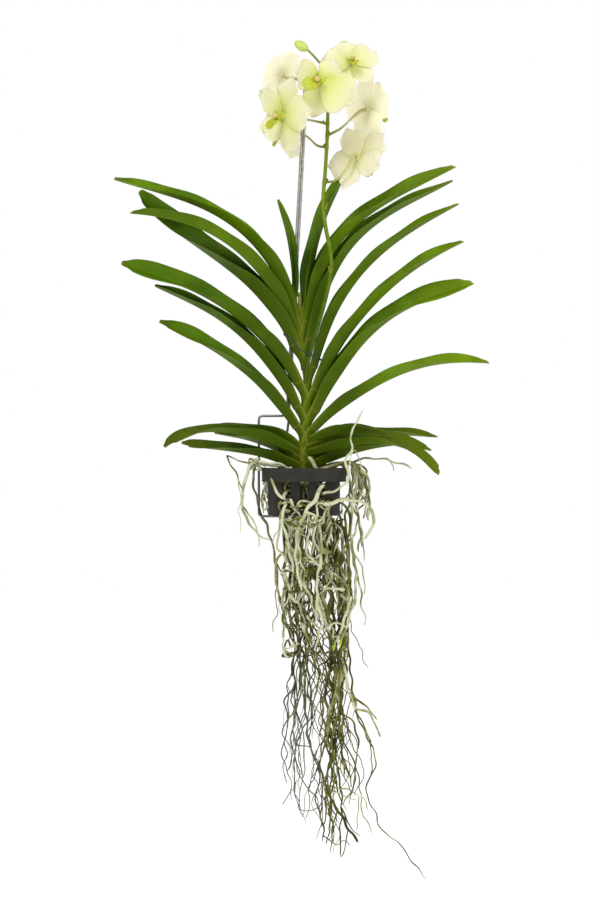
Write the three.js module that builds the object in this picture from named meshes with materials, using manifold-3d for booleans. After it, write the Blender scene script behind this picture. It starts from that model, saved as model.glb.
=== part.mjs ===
// A vanda orchid in its hanging net basket: basket, wire hanger, stem, strap leaves, flower spike and roots.
// Millimetres, +Z up. Every piece is drawn from the stem's foot at the basket's rim: x to the right along the fan
// of leaves, y away from the front, z up. The whole group is then moved so that the point where the hook bears
// on its rail is the origin.
import * as THREE from "three";
import { mergeVertices } from "three/addons/utils/BufferGeometryUtils.js";
import Module from "manifold-3d";

const wasm = await Module();
wasm.setup();

// ---------------------------------------------------------------- driving dimensions

const GAP = 0.3; // left between two pieces that touch

const BASKET = {
  rimSide: 96, // outside of the square rim
  bodySide: 82, // outside of the square body
  corner: 12, // corner radius of the rim
  height: 54,
  rimHeight: 15.5,
  wall: 2.4,
  slotWidth: 10.3,
  slotPitch: 20.6,
  slotBottom: 7, // height of the solid band under the side slots
  floorSlotWidth: 19,
  floorSlotLength: 64,
  floorRib: 5,
  notch: 3.2, // little V cuts in the rim's lower edge
};

const WIRE = 2.9; // diameter of the hanger's wire
const HANGER = {
  depth: 11, // the shaft stands this far behind the stem
  footX: -18.4, // where the shaft's line ends, over the loop
  footZ: 66,
  lean: 0.0544, // the shaft leans right by this much for each mm up
  hookTop: 458,
  hookRadius: 12, // to the middle of the wire
  hookReach: 200, // degrees that the hook turns through
  loopTop: 60,
  loopLeft: -52.1,
  loopRight: -20.2,
  loopCorner: 5,
};

const STEM = { radius: 4.4, topRadius: 2.4, foot: -3.6, top: 200 };
const SPIKE_RADIUS = 2.3;
const PEDICEL_RADIUS = 1.25;

const LEAF_THICKNESS = 1.3;
const TEPAL_THICKNESS = 0.9;
const HUB_RADIUS = 4.2;

// Where the stem's middle line runs, from the basket up.
const STEM_LINE = [
  [0, 0, -4],
  [-0.5, 0, 20],
  [2, 0, 55],
  [3, 0, 100],
  [-2, 0, 147],
  [-5, 0, 200],
];

// ---------------------------------------------------------------- joining and cutting

function solidOf(geometry) {
  const bare = new THREE.BufferGeometry();
  bare.setAttribute("position", geometry.getAttribute("position"));
  bare.setIndex(geometry.index);
  const merged = mergeVertices(bare, 1e-4);
  const mesh = new wasm.Mesh({
    numProp: 3,
    vertProperties: merged.attributes.position.array,
    triVerts: new Uint32Array(merged.index.array),
  });
  return new wasm.Manifold(mesh);
}

function geometryOf(solid) {
  const mesh = solid.getMesh();
  const geometry = new THREE.BufferGeometry();
  geometry.setAttribute("position", new THREE.BufferAttribute(mesh.vertProperties, 3));
  geometry.setIndex(new THREE.BufferAttribute(mesh.triVerts, 1));
  return geometry;
}

function fuse(geometries) {
  return geometryOf(geometries.map(solidOf).reduce((whole, next) => whole.add(next)));
}

// ---------------------------------------------------------------- ways of making a shape

const vector = ([x, y, z]) => new THREE.Vector3(x, y, z);
const degrees = THREE.MathUtils.degToRad;
const { clamp, lerp, smoothstep } = THREE.MathUtils;

// Points evenly spaced along a smooth curve through the given ones.
function smooth(points, steps) {
  return new THREE.CatmullRomCurve3(points.map(vector), false, "centripetal").getSpacedPoints(steps);
}

// A closed tube through the points. radiusAt(t) gives its radius for t from 0 to 1, and section an outline of
// radius 1 that it carries along without twisting.
function tube(points, radiusAt, section) {
  const rings = points.length;
  const sides = section.length;
  const positions = [];
  const faces = [];
  let tangent;
  let side;
  for (let i = 0; i < rings; i += 1) {
    const ahead = points[Math.min(i + 1, rings - 1)].clone();
    const next = ahead.sub(points[Math.max(i - 1, 0)]).normalize();
    if (side) side.applyQuaternion(new THREE.Quaternion().setFromUnitVectors(tangent, next));
    else side = new THREE.Vector3(1, 0, 0).addScaledVector(next, -next.x).normalize();
    tangent = next;
    const other = tangent.clone().cross(side);
    const radius = radiusAt(i / (rings - 1));
    for (const [a, b] of section) {
      const corner = points[i].clone().addScaledVector(side, a * radius).addScaledVector(other, b * radius);
      positions.push(corner.x, corner.y, corner.z);
    }
  }
  for (let i = 0; i < rings - 1; i += 1) {
    for (let k = 0; k < sides; k += 1) {
      const here = i * sides + k;
      const beside = i * sides + ((k + 1) % sides);
      faces.push(here, beside, beside + sides, here, beside + sides, here + sides);
    }
  }
  const last = (rings - 1) * sides;
  for (let k = 1; k < sides - 1; k += 1) {
    faces.push(0, k + 1, k, last, last + k, last + k + 1);
  }
  return meshData(positions, faces);
}

function meshData(positions, faces) {
  const geometry = new THREE.BufferGeometry();
  geometry.setAttribute("position", new THREE.Float32BufferAttribute(positions, 3));
  geometry.setIndex(faces);
  return geometry;
}

// A round section of radius 1 with this many sides.
function round(sides) {
  return Array.from({ length: sides }, (_, k) => {
    const angle = ((k + 0.5) / sides) * 2 * Math.PI;
    return [Math.cos(angle), Math.sin(angle)];
  });
}

// Two wires side by side, as one outline in units of a wire's radius.
function pair() {
  const outline = [];
  for (const centre of [0.92, -0.92]) {
    for (let k = 0; k < 5; k += 1) {
      const angle = degrees(-108 + k * 54) + (centre > 0 ? 0 : Math.PI);
      outline.push([centre + Math.cos(angle), Math.sin(angle)]);
    }
  }
  return outline;
}

// A thin blade. surface(u, v) is its middle surface, with u from -1 to 1 across and v from 0 to 1 along. Both
// faces are that surface moved half the thickness along its normal, and are split by the same diagonals.
function blade(surface, across, along, thickness) {
  const nudge = 1e-3;
  const wide = across.length;
  const total = wide * along.length;
  const front = [];
  const back = [];
  for (const v of along) {
    for (const u of across) {
      const middle = surface(u, v);
      const acrossIt = surface(u + nudge, v).sub(surface(u - nudge, v));
      const alongIt = surface(u, Math.min(1, v + nudge)).sub(surface(u, Math.max(0, v - nudge)));
      const normal = acrossIt.cross(alongIt).normalize().multiplyScalar(thickness / 2);
      front.push(middle.x + normal.x, middle.y + normal.y, middle.z + normal.z);
      back.push(middle.x - normal.x, middle.y - normal.y, middle.z - normal.z);
    }
  }
  const faces = [];
  const rim = [];
  for (let j = 0; j < along.length - 1; j += 1) {
    for (let i = 0; i < wide - 1; i += 1) {
      const a = j * wide + i;
      const b = a + 1;
      const c = b + wide;
      const d = a + wide;
      faces.push(a, b, c, a, c, d);
      faces.push(a + total, c + total, b + total, a + total, d + total, c + total);
    }
  }
  for (let i = 0; i < wide - 1; i += 1) rim.push(i);
  for (let j = 0; j < along.length - 1; j += 1) rim.push(j * wide + wide - 1);
  for (let i = wide - 1; i > 0; i -= 1) rim.push(total - wide + i);
  for (let j = along.length - 1; j > 0; j -= 1) rim.push(j * wide);
  rim.forEach((p, k) => {
    const q = rim[(k + 1) % rim.length];
    faces.push(p, p + total, q + total, p, q + total, q);
  });
  return meshData([...front, ...back], faces);
}

// ---------------------------------------------------------------- the plant and its parts

const plant = new THREE.Group();

function add(name, geometry, { colour, roughness, metalness = 0 }) {
  const material = new THREE.MeshStandardMaterial({ color: colour, roughness, metalness });
  const mesh = new THREE.Mesh(geometry, material);
  mesh.name = name;
  plant.add(mesh);
  return mesh;
}

const PLASTIC = { colour: 0x2b2c30, roughness: 0.5 };
const STEEL = { colour: 0x8f9092, roughness: 0.35, metalness: 1 };
const TIE_GREEN = { colour: 0x17301f, roughness: 0.6 };
const STEM_GREEN = { colour: 0x7d8a2c, roughness: 0.55 };
const LEAF_GREEN = { colour: 0x3f7410, roughness: 0.4 };
const OLD_LEAF_GREEN = { colour: 0x2c4a12, roughness: 0.45 };
const SPIKE_GREEN = { colour: 0x5d8020, roughness: 0.5 };
const PETAL_CREAM = { colour: 0xf2f0cf, roughness: 0.55 };
const LIP_GREEN = { colour: 0xb4bd2a, roughness: 0.45 };
const BUD_LIME = { colour: 0xc2d66a, roughness: 0.5 };
const ROOT_SILVER = { colour: 0x99a077, roughness: 0.8 };

// ---------------------------------------------------------------- basket: one moulding, open on top

// A square with rounded corners, drawn round the basket's middle.
function roundedSquare(side, corner) {
  const half = side / 2;
  const straight = half - corner;
  const outline = new THREE.Shape();
  outline.moveTo(half, -straight);
  [0, 90, 180, 270].forEach((turn) => {
    const angle = degrees(turn + 45);
    const x = Math.sign(Math.cos(angle)) * straight;
    const y = Math.sign(Math.sin(angle)) * straight;
    outline.absarc(x, y, corner, degrees(turn), degrees(turn + 90), false);
  });
  return outline;
}

// A prism from one height to another, with an optional hole.
function prism(outline, bottom, top, hole) {
  const shape = outline.clone();
  if (hole) shape.holes.push(hole);
  const geometry = new THREE.ExtrudeGeometry(shape, {
    depth: top - bottom,
    bevelEnabled: false,
    curveSegments: 3,
  });
  geometry.translate(0, 0, bottom);
  return indexed(geometry);
}

function indexed(geometry) {
  geometry.deleteAttribute("normal");
  geometry.deleteAttribute("uv");
  return mergeVertices(geometry, 1e-4);
}

function block(width, depth, height, x, y, z) {
  const box = new THREE.BoxGeometry(width, depth, height);
  box.translate(x, y, z);
  return indexed(box);
}

function basket() {
  const { rimSide, bodySide, corner, height, rimHeight, wall } = BASKET;
  const inset = (rimSide - bodySide) / 2;
  const body = roundedSquare(bodySide, corner - inset / 2);
  const inner = roundedSquare(bodySide - 2 * wall, corner - inset / 2 - wall);
  const rim = roundedSquare(rimSide, corner);
  const skirt = roundedSquare(rimSide - 2 * wall, corner - wall);
  let whole = solidOf(prism(body, -height, 0))
    .subtract(solidOf(prism(inner, -height + wall, 1)))
    .add(solidOf(prism(rim, -rimHeight, 0, skirt)))
    .add(solidOf(prism(rim, -wall, 0, inner)));
  const slotHeight = height - rimHeight - BASKET.slotBottom + 4;
  const slotMiddle = -height + BASKET.slotBottom + slotHeight / 2;
  for (const column of [-1, 0, 1]) {
    const along = column * BASKET.slotPitch;
    whole = whole
      .subtract(solidOf(block(BASKET.slotWidth, bodySide + 1, slotHeight, along, 0, slotMiddle)))
      .subtract(solidOf(block(bodySide + 1, BASKET.slotWidth, slotHeight, 0, along, slotMiddle)));
    const floorPitch = BASKET.floorSlotWidth + BASKET.floorRib;
    const { floorSlotWidth, floorSlotLength } = BASKET;
    whole = whole.subtract(
      solidOf(block(floorSlotWidth, floorSlotLength, 3 * wall, column * floorPitch, 0, -height)),
    );
  }
  for (const side of [0, 90, 180, 270]) {
    for (const along of [-18, 18]) {
      const cut = block(BASKET.notch, 4 * wall, BASKET.notch, 0, 0, 0);
      cut.rotateY(Math.PI / 4);
      cut.translate(along, rimSide / 2, -rimHeight);
      cut.rotateZ(degrees(side));
      whole = whole.subtract(solidOf(cut));
    }
  }
  return geometryOf(whole);
}

add("basket", basket(), PLASTIC);

// ---------------------------------------------------------------- hanger: one wire bent double

// The shaft's middle line at a height.
function shaftAt(z) {
  const x = HANGER.footX + (z - HANGER.footZ) * HANGER.lean;
  return new THREE.Vector3(x, HANGER.depth, z);
}

const hookTopMiddle = shaftAt(HANGER.hookTop - HANGER.hookRadius);
const HOOK_BEARING = new THREE.Vector3(
  hookTopMiddle.x,
  HANGER.depth - HANGER.hookRadius,
  HANGER.hookTop - WIRE,
);

// The polyline's corners rounded by short arcs.
function roundedCorners(points, radius) {
  const path = [vector(points[0])];
  for (let i = 1; i < points.length - 1; i += 1) {
    const corner = vector(points[i]);
    const before = vector(points[i - 1]).sub(corner).normalize().multiplyScalar(radius).add(corner);
    const after = vector(points[i + 1]).sub(corner).normalize().multiplyScalar(radius).add(corner);
    path.push(...new THREE.QuadraticBezierCurve3(before, corner, after).getPoints(3));
  }
  path.push(vector(points[points.length - 1]));
  return path;
}

function hanger() {
  const { hookRadius, hookReach, depth, footZ, loopTop, loopLeft, loopRight, loopCorner } = HANGER;
  const shaft = [shaftAt(footZ), hookTopMiddle];
  const bends = 10;
  for (let k = 1; k <= bends; k += 1) {
    const turn = degrees((k / bends) * hookReach);
    const back = hookRadius * (1 - Math.cos(turn));
    const up = hookRadius * Math.sin(turn);
    shaft.push(hookTopMiddle.clone().add(new THREE.Vector3(0, -back, up)));
  }
  const radius = WIRE / 2;
  const under = -BASKET.height - GAP - radius;
  const start = shaftAt(footZ + 6);
  const spread = 0.92 * radius;
  const outerLeg = roundedCorners(
    [
      [start.x - spread, depth, start.z],
      [loopRight + 1.2, depth, loopTop + 8],
      [loopRight - 1, depth, loopTop],
      [loopLeft, depth, loopTop],
      [loopLeft, depth, under],
      [loopRight + 3, depth, under],
    ],
    loopCorner,
  );
  const innerLeg = roundedCorners(
    [
      [start.x + spread, depth, start.z],
      [start.x + spread - 0.8, depth + 3, loopTop - 4],
      [loopRight, depth + 3.5, loopTop - 26],
      [loopRight, depth, under + 10],
      [loopRight, depth, under - 0.4],
    ],
    4,
  );
  const leg = () => radius * 0.97;
  return fuse([
    tube(shaft, () => radius, pair()),
    tube(outerLeg, leg, round(7)),
    tube(innerLeg, leg, round(7)),
  ]);
}

add("hanger", hanger(), STEEL);

// ---------------------------------------------------------------- stem

// The stem's middle line at a height above the rim.
function stemAt(z) {
  const points = STEM_LINE;
  let i = 0;
  while (i < points.length - 2 && points[i + 1][2] < z) i += 1;
  const share = (z - points[i][2]) / (points[i + 1][2] - points[i][2]);
  return new THREE.Vector3(lerp(points[i][0], points[i + 1][0], share), 0, z);
}

function stemRadius(z) {
  return lerp(STEM.radius, STEM.topRadius, (z / STEM.top) ** 2);
}

// The stem is pinched in between its joints.
function stem() {
  const steps = 18;
  const heights = Array.from({ length: steps + 1 }, (_, k) => lerp(STEM.foot, STEM.top, k / steps));
  const radiusAt = (t) => {
    const k = Math.round(t * steps);
    return stemRadius(heights[k]) * (k % 2 ? 0.9 : 1);
  };
  return tube(heights.map(stemAt), radiusAt, round(8));
}

add("stem", stem(), STEM_GREEN);

// ---------------------------------------------------------------- leaves: two ranks of folded straps

// Each row: the leaf's name; the side of the stem it grows on; the height of its base; the tip's reach, depth and
// height; the angles above level at which it rises from the stem and arrives at its tip; its opened width; how far
// it lies open at the tip and how far its upper side turns to the front there; how full its arch is; and how far it
// swings out of the fan near the stem.
const LEAVES = [
  ["leaf_left_01", -1, 172, [217, -14, 333], 79, 14, 33, 62, 22, 0.42, 0],
  ["leaf_left_02", -1, 153, [198, -34, 291], 74, 1, 32, 60, -12, 0.41, 0],
  ["leaf_left_03", -1, 142, [191, 30, 322], 73, 51, 42, 52, 46, 0.34, 0],
  ["leaf_left_04", -1, 98, [209, -16, 235], 66, 14, 36, 60, 48, 0.34, 0],
  ["leaf_left_05", -1, 70, [172, 14, 212], 67, 22, 32, 55, 15, 0.38, 0],
  ["leaf_left_06", -1, 48, [166, -6, 169], 58, 19, 31, 60, 38, 0.34, 0],
  ["leaf_left_07", -1, 18, [156, -84, 24], 32, -48, 26, 68, 20, 0.3, -20],
  ["leaf_left_08", -1, 26, [107, -8, 46], 43, -8, 26, 66, 15, 0.34, 0],
  ["leaf_left_09", -1, 3, [140, -16, 30], 24, 8, 26, 62, 30, 0.38, 0],
  ["leaf_left_10", -1, 11, [106, 80, 41], 31, 4, 24, 66, 10, 0.36, 0],
  ["leaf_centre_01", -1, 196, [29, 6, 310], 89, 66, 20, 40, 10, 0.4, 0],
  ["leaf_centre_02", 1, 184, [49, 14, 345], 89, 58, 30, 44, 20, 0.4, 0],
  ["leaf_right_01", 1, 168, [175, 10, 348], 82, 22, 34, 58, 30, 0.45, 0],
  ["leaf_right_02", 1, 148, [172, 40, 336], 81, 26, 33, 60, 10, 0.44, 0],
  ["leaf_right_03", 1, 116, [178, 4, 304], 76, 26, 28, 60, 15, 0.44, 0],
  ["leaf_right_04", 1, 90, [183, -8, 260], 69, 22, 32, 60, 22, 0.38, 0],
  ["leaf_right_05", 1, 66, [195, 6, 215], 66, 14, 36, 60, 46, 0.4, 0],
  ["leaf_right_06", 1, 46, [213, -4, 122], 48, -8, 30, 60, 24, 0.35, 0],
  ["leaf_right_07", 1, 25, [157, 58, 38], 16, -8, 26, 62, 20, 0.36, 12],
  ["leaf_right_08", 1, 33, [145, -48, 22], 26, -18, 26, 62, 15, 0.36, -14],
  ["leaf_right_09", 1, 18, [151, -100, -6], 16, -58, 24, 64, 15, 0.34, -34],
  ["leaf_right_10", 1, 9, [76, 66, 42], 26, 22, 22, 60, 10, 0.36, 22],
  ["leaf_right_11", 1, 3, [128, 10, 30], 24, 2, 26, 60, 20, 0.36, 0],
].map(([name, side, base, tip, rise, arrive, width, open, roll, full, swing]) => ({
  name, side, base, tip, rise, arrive, width, open, roll, full, swing,
}));

const LEAF_STATIONS = [0, 0.06, 0.13, 0.22, 0.34, 0.46, 0.58, 0.7, 0.81, 0.9, 0.96, 1];

function leafSurface({ side, base, tip, rise, arrive, width, open, roll, full, swing }) {
  // How wide the folded base clasps the stem: the lowest, oldest leaves have shrunk to narrow ones, and the topmost
  // are only half grown.
  const clasp = base < 40 ? 0 : base > 150 ? 0.5 : 1;
  const root = stemAt(base);
  root.x += side * (stemRadius(base) + lerp(2.2, 5.6, clasp));
  const end = new THREE.Vector3(side * tip[0], tip[1], tip[2]);
  const handle = full * root.distanceTo(end);
  const leaving = new THREE.Vector3(side * Math.cos(degrees(rise)), 0, Math.sin(degrees(rise)));
  const arriving = new THREE.Vector3(side * Math.cos(degrees(arrive)), 0, Math.sin(degrees(arrive)));
  const first = root.clone().addScaledVector(leaving, handle);
  first.y = swing;
  const second = end.clone().addScaledVector(arriving, -handle);
  second.y = tip[1] * 0.7;
  const curve = new THREE.CubicBezierCurve3(root, first, second, end);
  const length = curve.getLength();
  return (u, v) => {
    const bite = v > 0.95 ? ((v - 0.95) / 0.05) ** 2 * (u > 0.5 ? 0 : u < -0.5 ? 4 : 7) : 0;
    const at = Math.max(0, Math.min(1, v - bite / length));
    const middle = curve.getPointAt(at);
    const along = curve.getTangentAt(at);
    const half = lerp(lerp(5.6, Math.min(9.5, 0.36 * width), clasp), width / 2, smoothstep(v, 0, 0.24)) * (1 - 0.5 * Math.max(0, (v - 0.68) / 0.32) ** 2);
    const folded = lerp(lerp(62, 31, clasp), 24, smoothstep(v, 0, 0.12));
    const spread = degrees(lerp(folded, open, smoothstep(v, 0.1, 1)));
    const up = new THREE.Vector3(0, 0, 1).addScaledVector(along, -along.z).normalize();
    const turn = degrees(roll) * smoothstep(v, 0.1, 0.9);
    const toFront = new THREE.Vector3(0, -1, 0).addScaledVector(along, along.y).normalize();
    const normal = up.multiplyScalar(Math.cos(turn)).addScaledVector(toFront, Math.sin(turn)).normalize();
    const across = along.clone().cross(normal);
    return middle
      .addScaledVector(normal, half * Math.cos(spread) * (Math.abs(u) - 0.5))
      .addScaledVector(across, half * Math.sin(spread) * u);
  };
}

for (const leaf of LEAVES) {
  const geometry = blade(leafSurface(leaf), [-1, 0, 1], LEAF_STATIONS, LEAF_THICKNESS);
  add(leaf.name, geometry, leaf.base < 40 ? OLD_LEAF_GREEN : LEAF_GREEN);
}

// ---------------------------------------------------------------- flower spike, blooms and bud

// Each row: the middle of the bloom, the way it faces, how far it is turned about that, its size, the points that its
// pedicel passes on the way from the spike, and for each of its tepals how far it is turned from the top, how far its end
// bends forward, negative for back, and its shares of the usual width and length.
const BLOOMS = [
  {
    name: "bloom_01",
    at: [19.5, -38, 442],
    face: [-0.42, -0.9, -0.08],
    spin: -56,
    size: 1.06,
    pedicel: [[28, 0, 420], [29, -14, 430]],
    turns: [-24, 72, -128, 144, -154],
    bends: [-14, -2, -6, -4, -8],
    widths: [0.75, 1.14, 0.8, 1, 0.7],
    lengths: [0.5, 1.02, 0.76, 1, 0.5],
  },
  {
    name: "bloom_02",
    at: [54, -22, 463],
    face: [0.06, -0.9, 0.42],
    spin: 12,
    size: 0.8,
    pedicel: [[28, 0, 438], [42, 8, 452], [52, -4, 462]],
    turns: [0, 72, -72, 144, -144],
    bends: [-5, -6, -4, -6, -12],
    widths: [1, 1, 1.05, 0.85, 0.8],
    lengths: [1, 1, 1, 0.95, 0.85],
  },
  {
    name: "bloom_03",
    at: [76, 26, 415],
    face: [0.84, 0.5, 0.1],
    spin: 0,
    size: 1.04,
    pedicel: [[26.5, 0, 382], [43, 0, 391], [56, 8, 404]],
    turns: [0, 72, -72, 144, -144],
    bends: [-4, -7, -2, -5, -4],
    widths: [1, 0.95, 1, 0.95, 1],
    lengths: [1, 1, 1, 1, 1],
  },
  {
    name: "bloom_04",
    at: [63, -4, 355],
    face: [0.58, 0.72, -0.38],
    spin: -26,
    size: 0.98,
    pedicel: [[23.6, -3, 328], [38, -20, 330], [50, -23, 345]],
    turns: [4, 72, -76, 150, -138],
    bends: [-9, -2, -6, -9, -1],
    widths: [0.95, 1, 0.95, 0.75, 1],
    lengths: [0.95, 1, 1, 1.05, 0.95],
  },
  {
    name: "bloom_05",
    at: [-24, -18, 403],
    face: [-0.78, -0.6, -0.1],
    spin: -15,
    size: 1.02,
    pedicel: [[26.5, 0, 396], [12, 0, 399], [-6, -4, 402]],
    turns: [-8, 74, -62, 146, -130],
    bends: [-12, -7, 3, -3, 7],
    widths: [1.05, 0.95, 0.7, 1.12, 1],
    lengths: [1, 1, 1.05, 1.08, 0.9],
  },
  {
    name: "bloom_06",
    at: [-22, 47, 390],
    face: [-0.88, -0.36, -0.2],
    spin: 0,
    size: 0.86,
    pedicel: [[26.4, 0, 369], [16, 14, 372], [2, 36, 386]],
    turns: [0, 72, -72, 144, -144],
    bends: [-4, -4, -6, -2, -6],
    widths: [1, 1, 1, 1, 1],
    lengths: [1, 1, 1, 1, 1],
  },
  {
    name: "bloom_07",
    at: [-26, 40, 458],
    face: [-0.6, 0.6, 0.5],
    spin: 0,
    size: 0.84,
    pedicel: [[27.4, 0, 446], [15, 24, 448], [0, 34, 451]],
    turns: [0, 68, -72, 140, -144],
    bends: [-6, -8, -3, -4, -7],
    widths: [1, 0.9, 0.85, 1, 1],
    lengths: [0.9, 1, 1, 1, 1],
  },
];

// The top sepal, the two petals and the two lower sepals: length, usual width, and how far behind the petals it lies.
const TEPALS = [
  { length: 40, width: 34, behind: 2.6 },
  { length: 41, width: 42, behind: 0 },
  { length: 41, width: 42, behind: 0 },
  { length: 40, width: 34, behind: 2.6 },
  { length: 40, width: 34, behind: 4.4 },
];

// A tepal: narrow at its claw, widest past its middle and rounded at its end, hollowed across and bent back.
function tepalSurface({ length, width, behind }, turn, bend, widen, lengthen, wave) {
  const angle = degrees(turn);
  return (u, v) => {
    const out = 2.4 + lengthen * length * v * (1 - 0.2 * u * u * v ** 3);
    const half = (widen * width / 2) * (0.1 + 0.9 * Math.sin(Math.PI * (0.03 + 0.81 * v)) ** 0.9);
    const x = u * half;
    const lift = 0.06 * length * u * u * v + bend * v * v + 1.3 * v * u * Math.sin(wave + 5 * v);
    return new THREE.Vector3(
      x * Math.cos(angle) + out * Math.sin(angle),
      out * Math.cos(angle) - x * Math.sin(angle),
      lift - behind * smoothstep(v, -0.25, 0.3),
    );
  };
}

function tepals(bloom, number) {
  const hub = indexed(new THREE.IcosahedronGeometry(HUB_RADIUS, 0));
  hub.scale(1, 1, 0.8);
  const pieces = TEPALS.map((tepal, k) => {
    const shares = [bloom.turns[k], bloom.bends[k], bloom.widths[k], bloom.lengths[k]];
    const surface = tepalSurface(tepal, ...shares, number * 1.7 + k * 2.1);
    return blade(surface, [-1, -0.4, 0.4, 1], [0, 0.22, 0.52, 0.8, 1], TEPAL_THICKNESS);
  });
  const flower = fuse([hub, ...pieces]);
  flower.scale(bloom.size, bloom.size, bloom.size);
  return flower;
}

// The lip is a grooved tongue that hangs forward under the short stout column, with a small lobe at each side.
function lip(bloom) {
  const tongue = (u, v) => new THREE.Vector3(
    u * (2.6 + 5 * Math.sin(Math.PI * (0.12 + 0.7 * v))),
    -3.2 - 4 * v - 7 * v * v,
    4.6 + 18 * v - 4 * v * v + 3 * u * u * (1 - 0.4 * v),
  );
  const lobe = (sign) => (u, v) => new THREE.Vector3(
    sign * (2.6 + 3.4 * v),
    -3 + 8 * v,
    6.8 + u * 3 * (1 - 0.3 * v),
  );
  const column = [[0, -1, 4], [0, 0.6, 12]].map(vector);
  const pieces = fuse([
    tube(column, (t) => lerp(3.2, 2.7, t), round(6)),
    blade(tongue, [-1, 0, 1], [0, 0.5, 1], 1),
    blade(lobe(1), [-1, 1], [0, 1], 1),
    blade(lobe(-1), [-1, 1], [0, 1], 1),
  ]);
  pieces.scale(bloom.size, bloom.size, bloom.size);
  return pieces;
}

// Turns a bloom to the way it faces, with its top sepal as near upright as that allows.
function faceOut(mesh, { at, face, spin }) {
  const forward = vector(face).normalize();
  const up = new THREE.Vector3(0, 0, 1).addScaledVector(forward, -forward.z).normalize();
  up.applyAxisAngle(forward, degrees(spin));
  const right = up.clone().cross(forward);
  mesh.position.copy(vector(at));
  mesh.quaternion.setFromRotationMatrix(new THREE.Matrix4().makeBasis(right, up, forward));
}

BLOOMS.forEach((bloom, number) => {
  faceOut(add(`${bloom.name}_tepals`, tepals(bloom, number), PETAL_CREAM), bloom);
  faceOut(add(`${bloom.name}_lip`, lip(bloom), LIP_GREEN), bloom);
});

// The spike's stalk from its leaf axil to its hidden top.
const SPIKE_LINE = [
  [3, -7.4, 110],
  [5, -10, 124],
  [12, -14, 150],
  [24, -17, 192],
  [31, -18, 226],
  [30, -18, 248],
  [24, -15, 280],
  [22, -9, 308],
  [24, -2, 335],
  [26.5, 0, 377],
  [27.5, 0, 410],
  [28, 0, 436],
  [25, 0, 456],
  [19, -1, 466],
];
const SPIKE_JOINT = [
  [31, -18, 222],
  [31.4, -18, 227],
  [31.2, -18, 233],
];
const BUD = { at: [-3.2, -2, 485], radius: 5.6, long: 8.6, lean: -58 };
const BUD_PEDICEL = [[20, -1, 463], [12.6, -2, 472], [4.6, -2, 480.1]];

function spike() {
  const stalk = tube(smooth(SPIKE_LINE, 24), (t) => SPIKE_RADIUS * lerp(1.08, 0.72, t * t), round(6));
  const pedicels = BLOOMS.map(({ at, face, pedicel, size }) => {
    const behind = vector(face).normalize().multiplyScalar(-(HUB_RADIUS * 0.8 * size + GAP));
    const end = vector(at).add(behind);
    const before = end.clone().addScaledVector(behind, 1.6);
    const route = [...pedicel, before.toArray(), end.toArray()];
    return tube(smooth(route, 5), (t) => lerp(PEDICEL_RADIUS * 1.25, PEDICEL_RADIUS, t), round(5));
  });
  const budStalk = tube(smooth(BUD_PEDICEL, 4), () => PEDICEL_RADIUS, round(5));
  const joint = tube(SPIKE_JOINT.map(vector), () => 3.1, round(6));
  return fuse([stalk, ...pedicels, budStalk, joint]);
}

function bud() {
  const body = new THREE.SphereGeometry(BUD.radius, 8, 6);
  body.scale(1, 1, BUD.long / BUD.radius);
  body.rotateY(degrees(BUD.lean));
  body.translate(...BUD.at);
  return indexed(body);
}

add("flower_spike", spike(), SPIKE_GREEN);
add("bud", bud(), BUD_LIME);

// ---------------------------------------------------------------- tie: twisted green wire round stem and shaft

// The loop runs in front of the stem and the spike, and behind the shaft. Its two ends are twisted together.
const TIE = {
  radius: 0.8,
  loop: [
    [-15, -12.5, 149],
    [-7, -14, 138],
    [-2, -15, 134.5],
    [4, -15.5, 131.5],
    [11.5, -14.5, 126.5],
    [19.4, -6, 124],
    [17.6, 8, 126],
    [4, 15, 133],
    [-8, 16.5, 143],
    [-20, 15, 151],
    [-23, 4, 154],
    [-21.4, -7, 153],
  ],
  ends: [
    [11, -14.6, 127],
    [13.5, -15.5, 130],
    [15, -16.2, 135],
  ],
};

function tie() {
  const loop = new THREE.CatmullRomCurve3(TIE.loop.map(vector), true, "centripetal");
  return fuse([
    indexed(new THREE.TubeGeometry(loop, 20, TIE.radius, 5, true)),
    tube(TIE.ends.map(vector), () => TIE.radius * 1.4, round(5)),
  ]);
}

add("stem_tie", tie(), TIE_GREEN);

// ---------------------------------------------------------------- roots: one crown, from which all of them grow

const CROWN = { width: 16, height: 11.5, middle: -17 };
const GOLDEN = 0.618034;
const FLOOR_PITCH = BASKET.floorSlotWidth + BASKET.floorRib;

// The strands that the roots hang in. Each level is a height, the x and y of the strand's middle there, and half
// its width and half its depth. A strand's roots end between two heights, and taper from one radius to another.
const STRANDS = [
  {
    count: 9,
    sides: 4,
    radii: [1.5, 0.7],
    ends: [-300, -415],
    wander: 3,
    levels: [
      [-68, -8, -4, 26, 22],
      [-110, -8, 0, 24, 24],
      [-165, -11, 0, 17, 16],
      [-200, -2, 0, 14, 13],
      [-240, -2, 0, 17, 14],
      [-325, -5, 0, 21, 16],
      [-370, 2, 0, 22, 18],
      [-420, 12, 0, 24, 18],
    ],
  },
  {
    count: 9,
    sides: 4,
    radii: [2, 0.8],
    ends: [-330, -447],
    wander: 2.6,
    levels: [
      [-68, 28, 4, 22, 24],
      [-110, 36, 0, 22, 24],
      [-165, 40, 0, 15, 16],
      [-200, 38, 0, 12, 12],
      [-280, 36, 0, 12, 12],
      [-325, 34, 0, 15, 14],
      [-370, 38, 0, 22, 18],
      [-450, 42, 0, 24, 18],
    ],
  },
  {
    count: 6,
    sides: 5,
    radii: [2.3, 1.4],
    ends: [-130, -215],
    wander: 5,
    levels: [
      [-68, 8, -10, 36, 26],
      [-110, 12, -12, 36, 28],
      [-160, 16, -8, 34, 28],
      [-230, 22, 0, 26, 22],
    ],
  },
];

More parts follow.
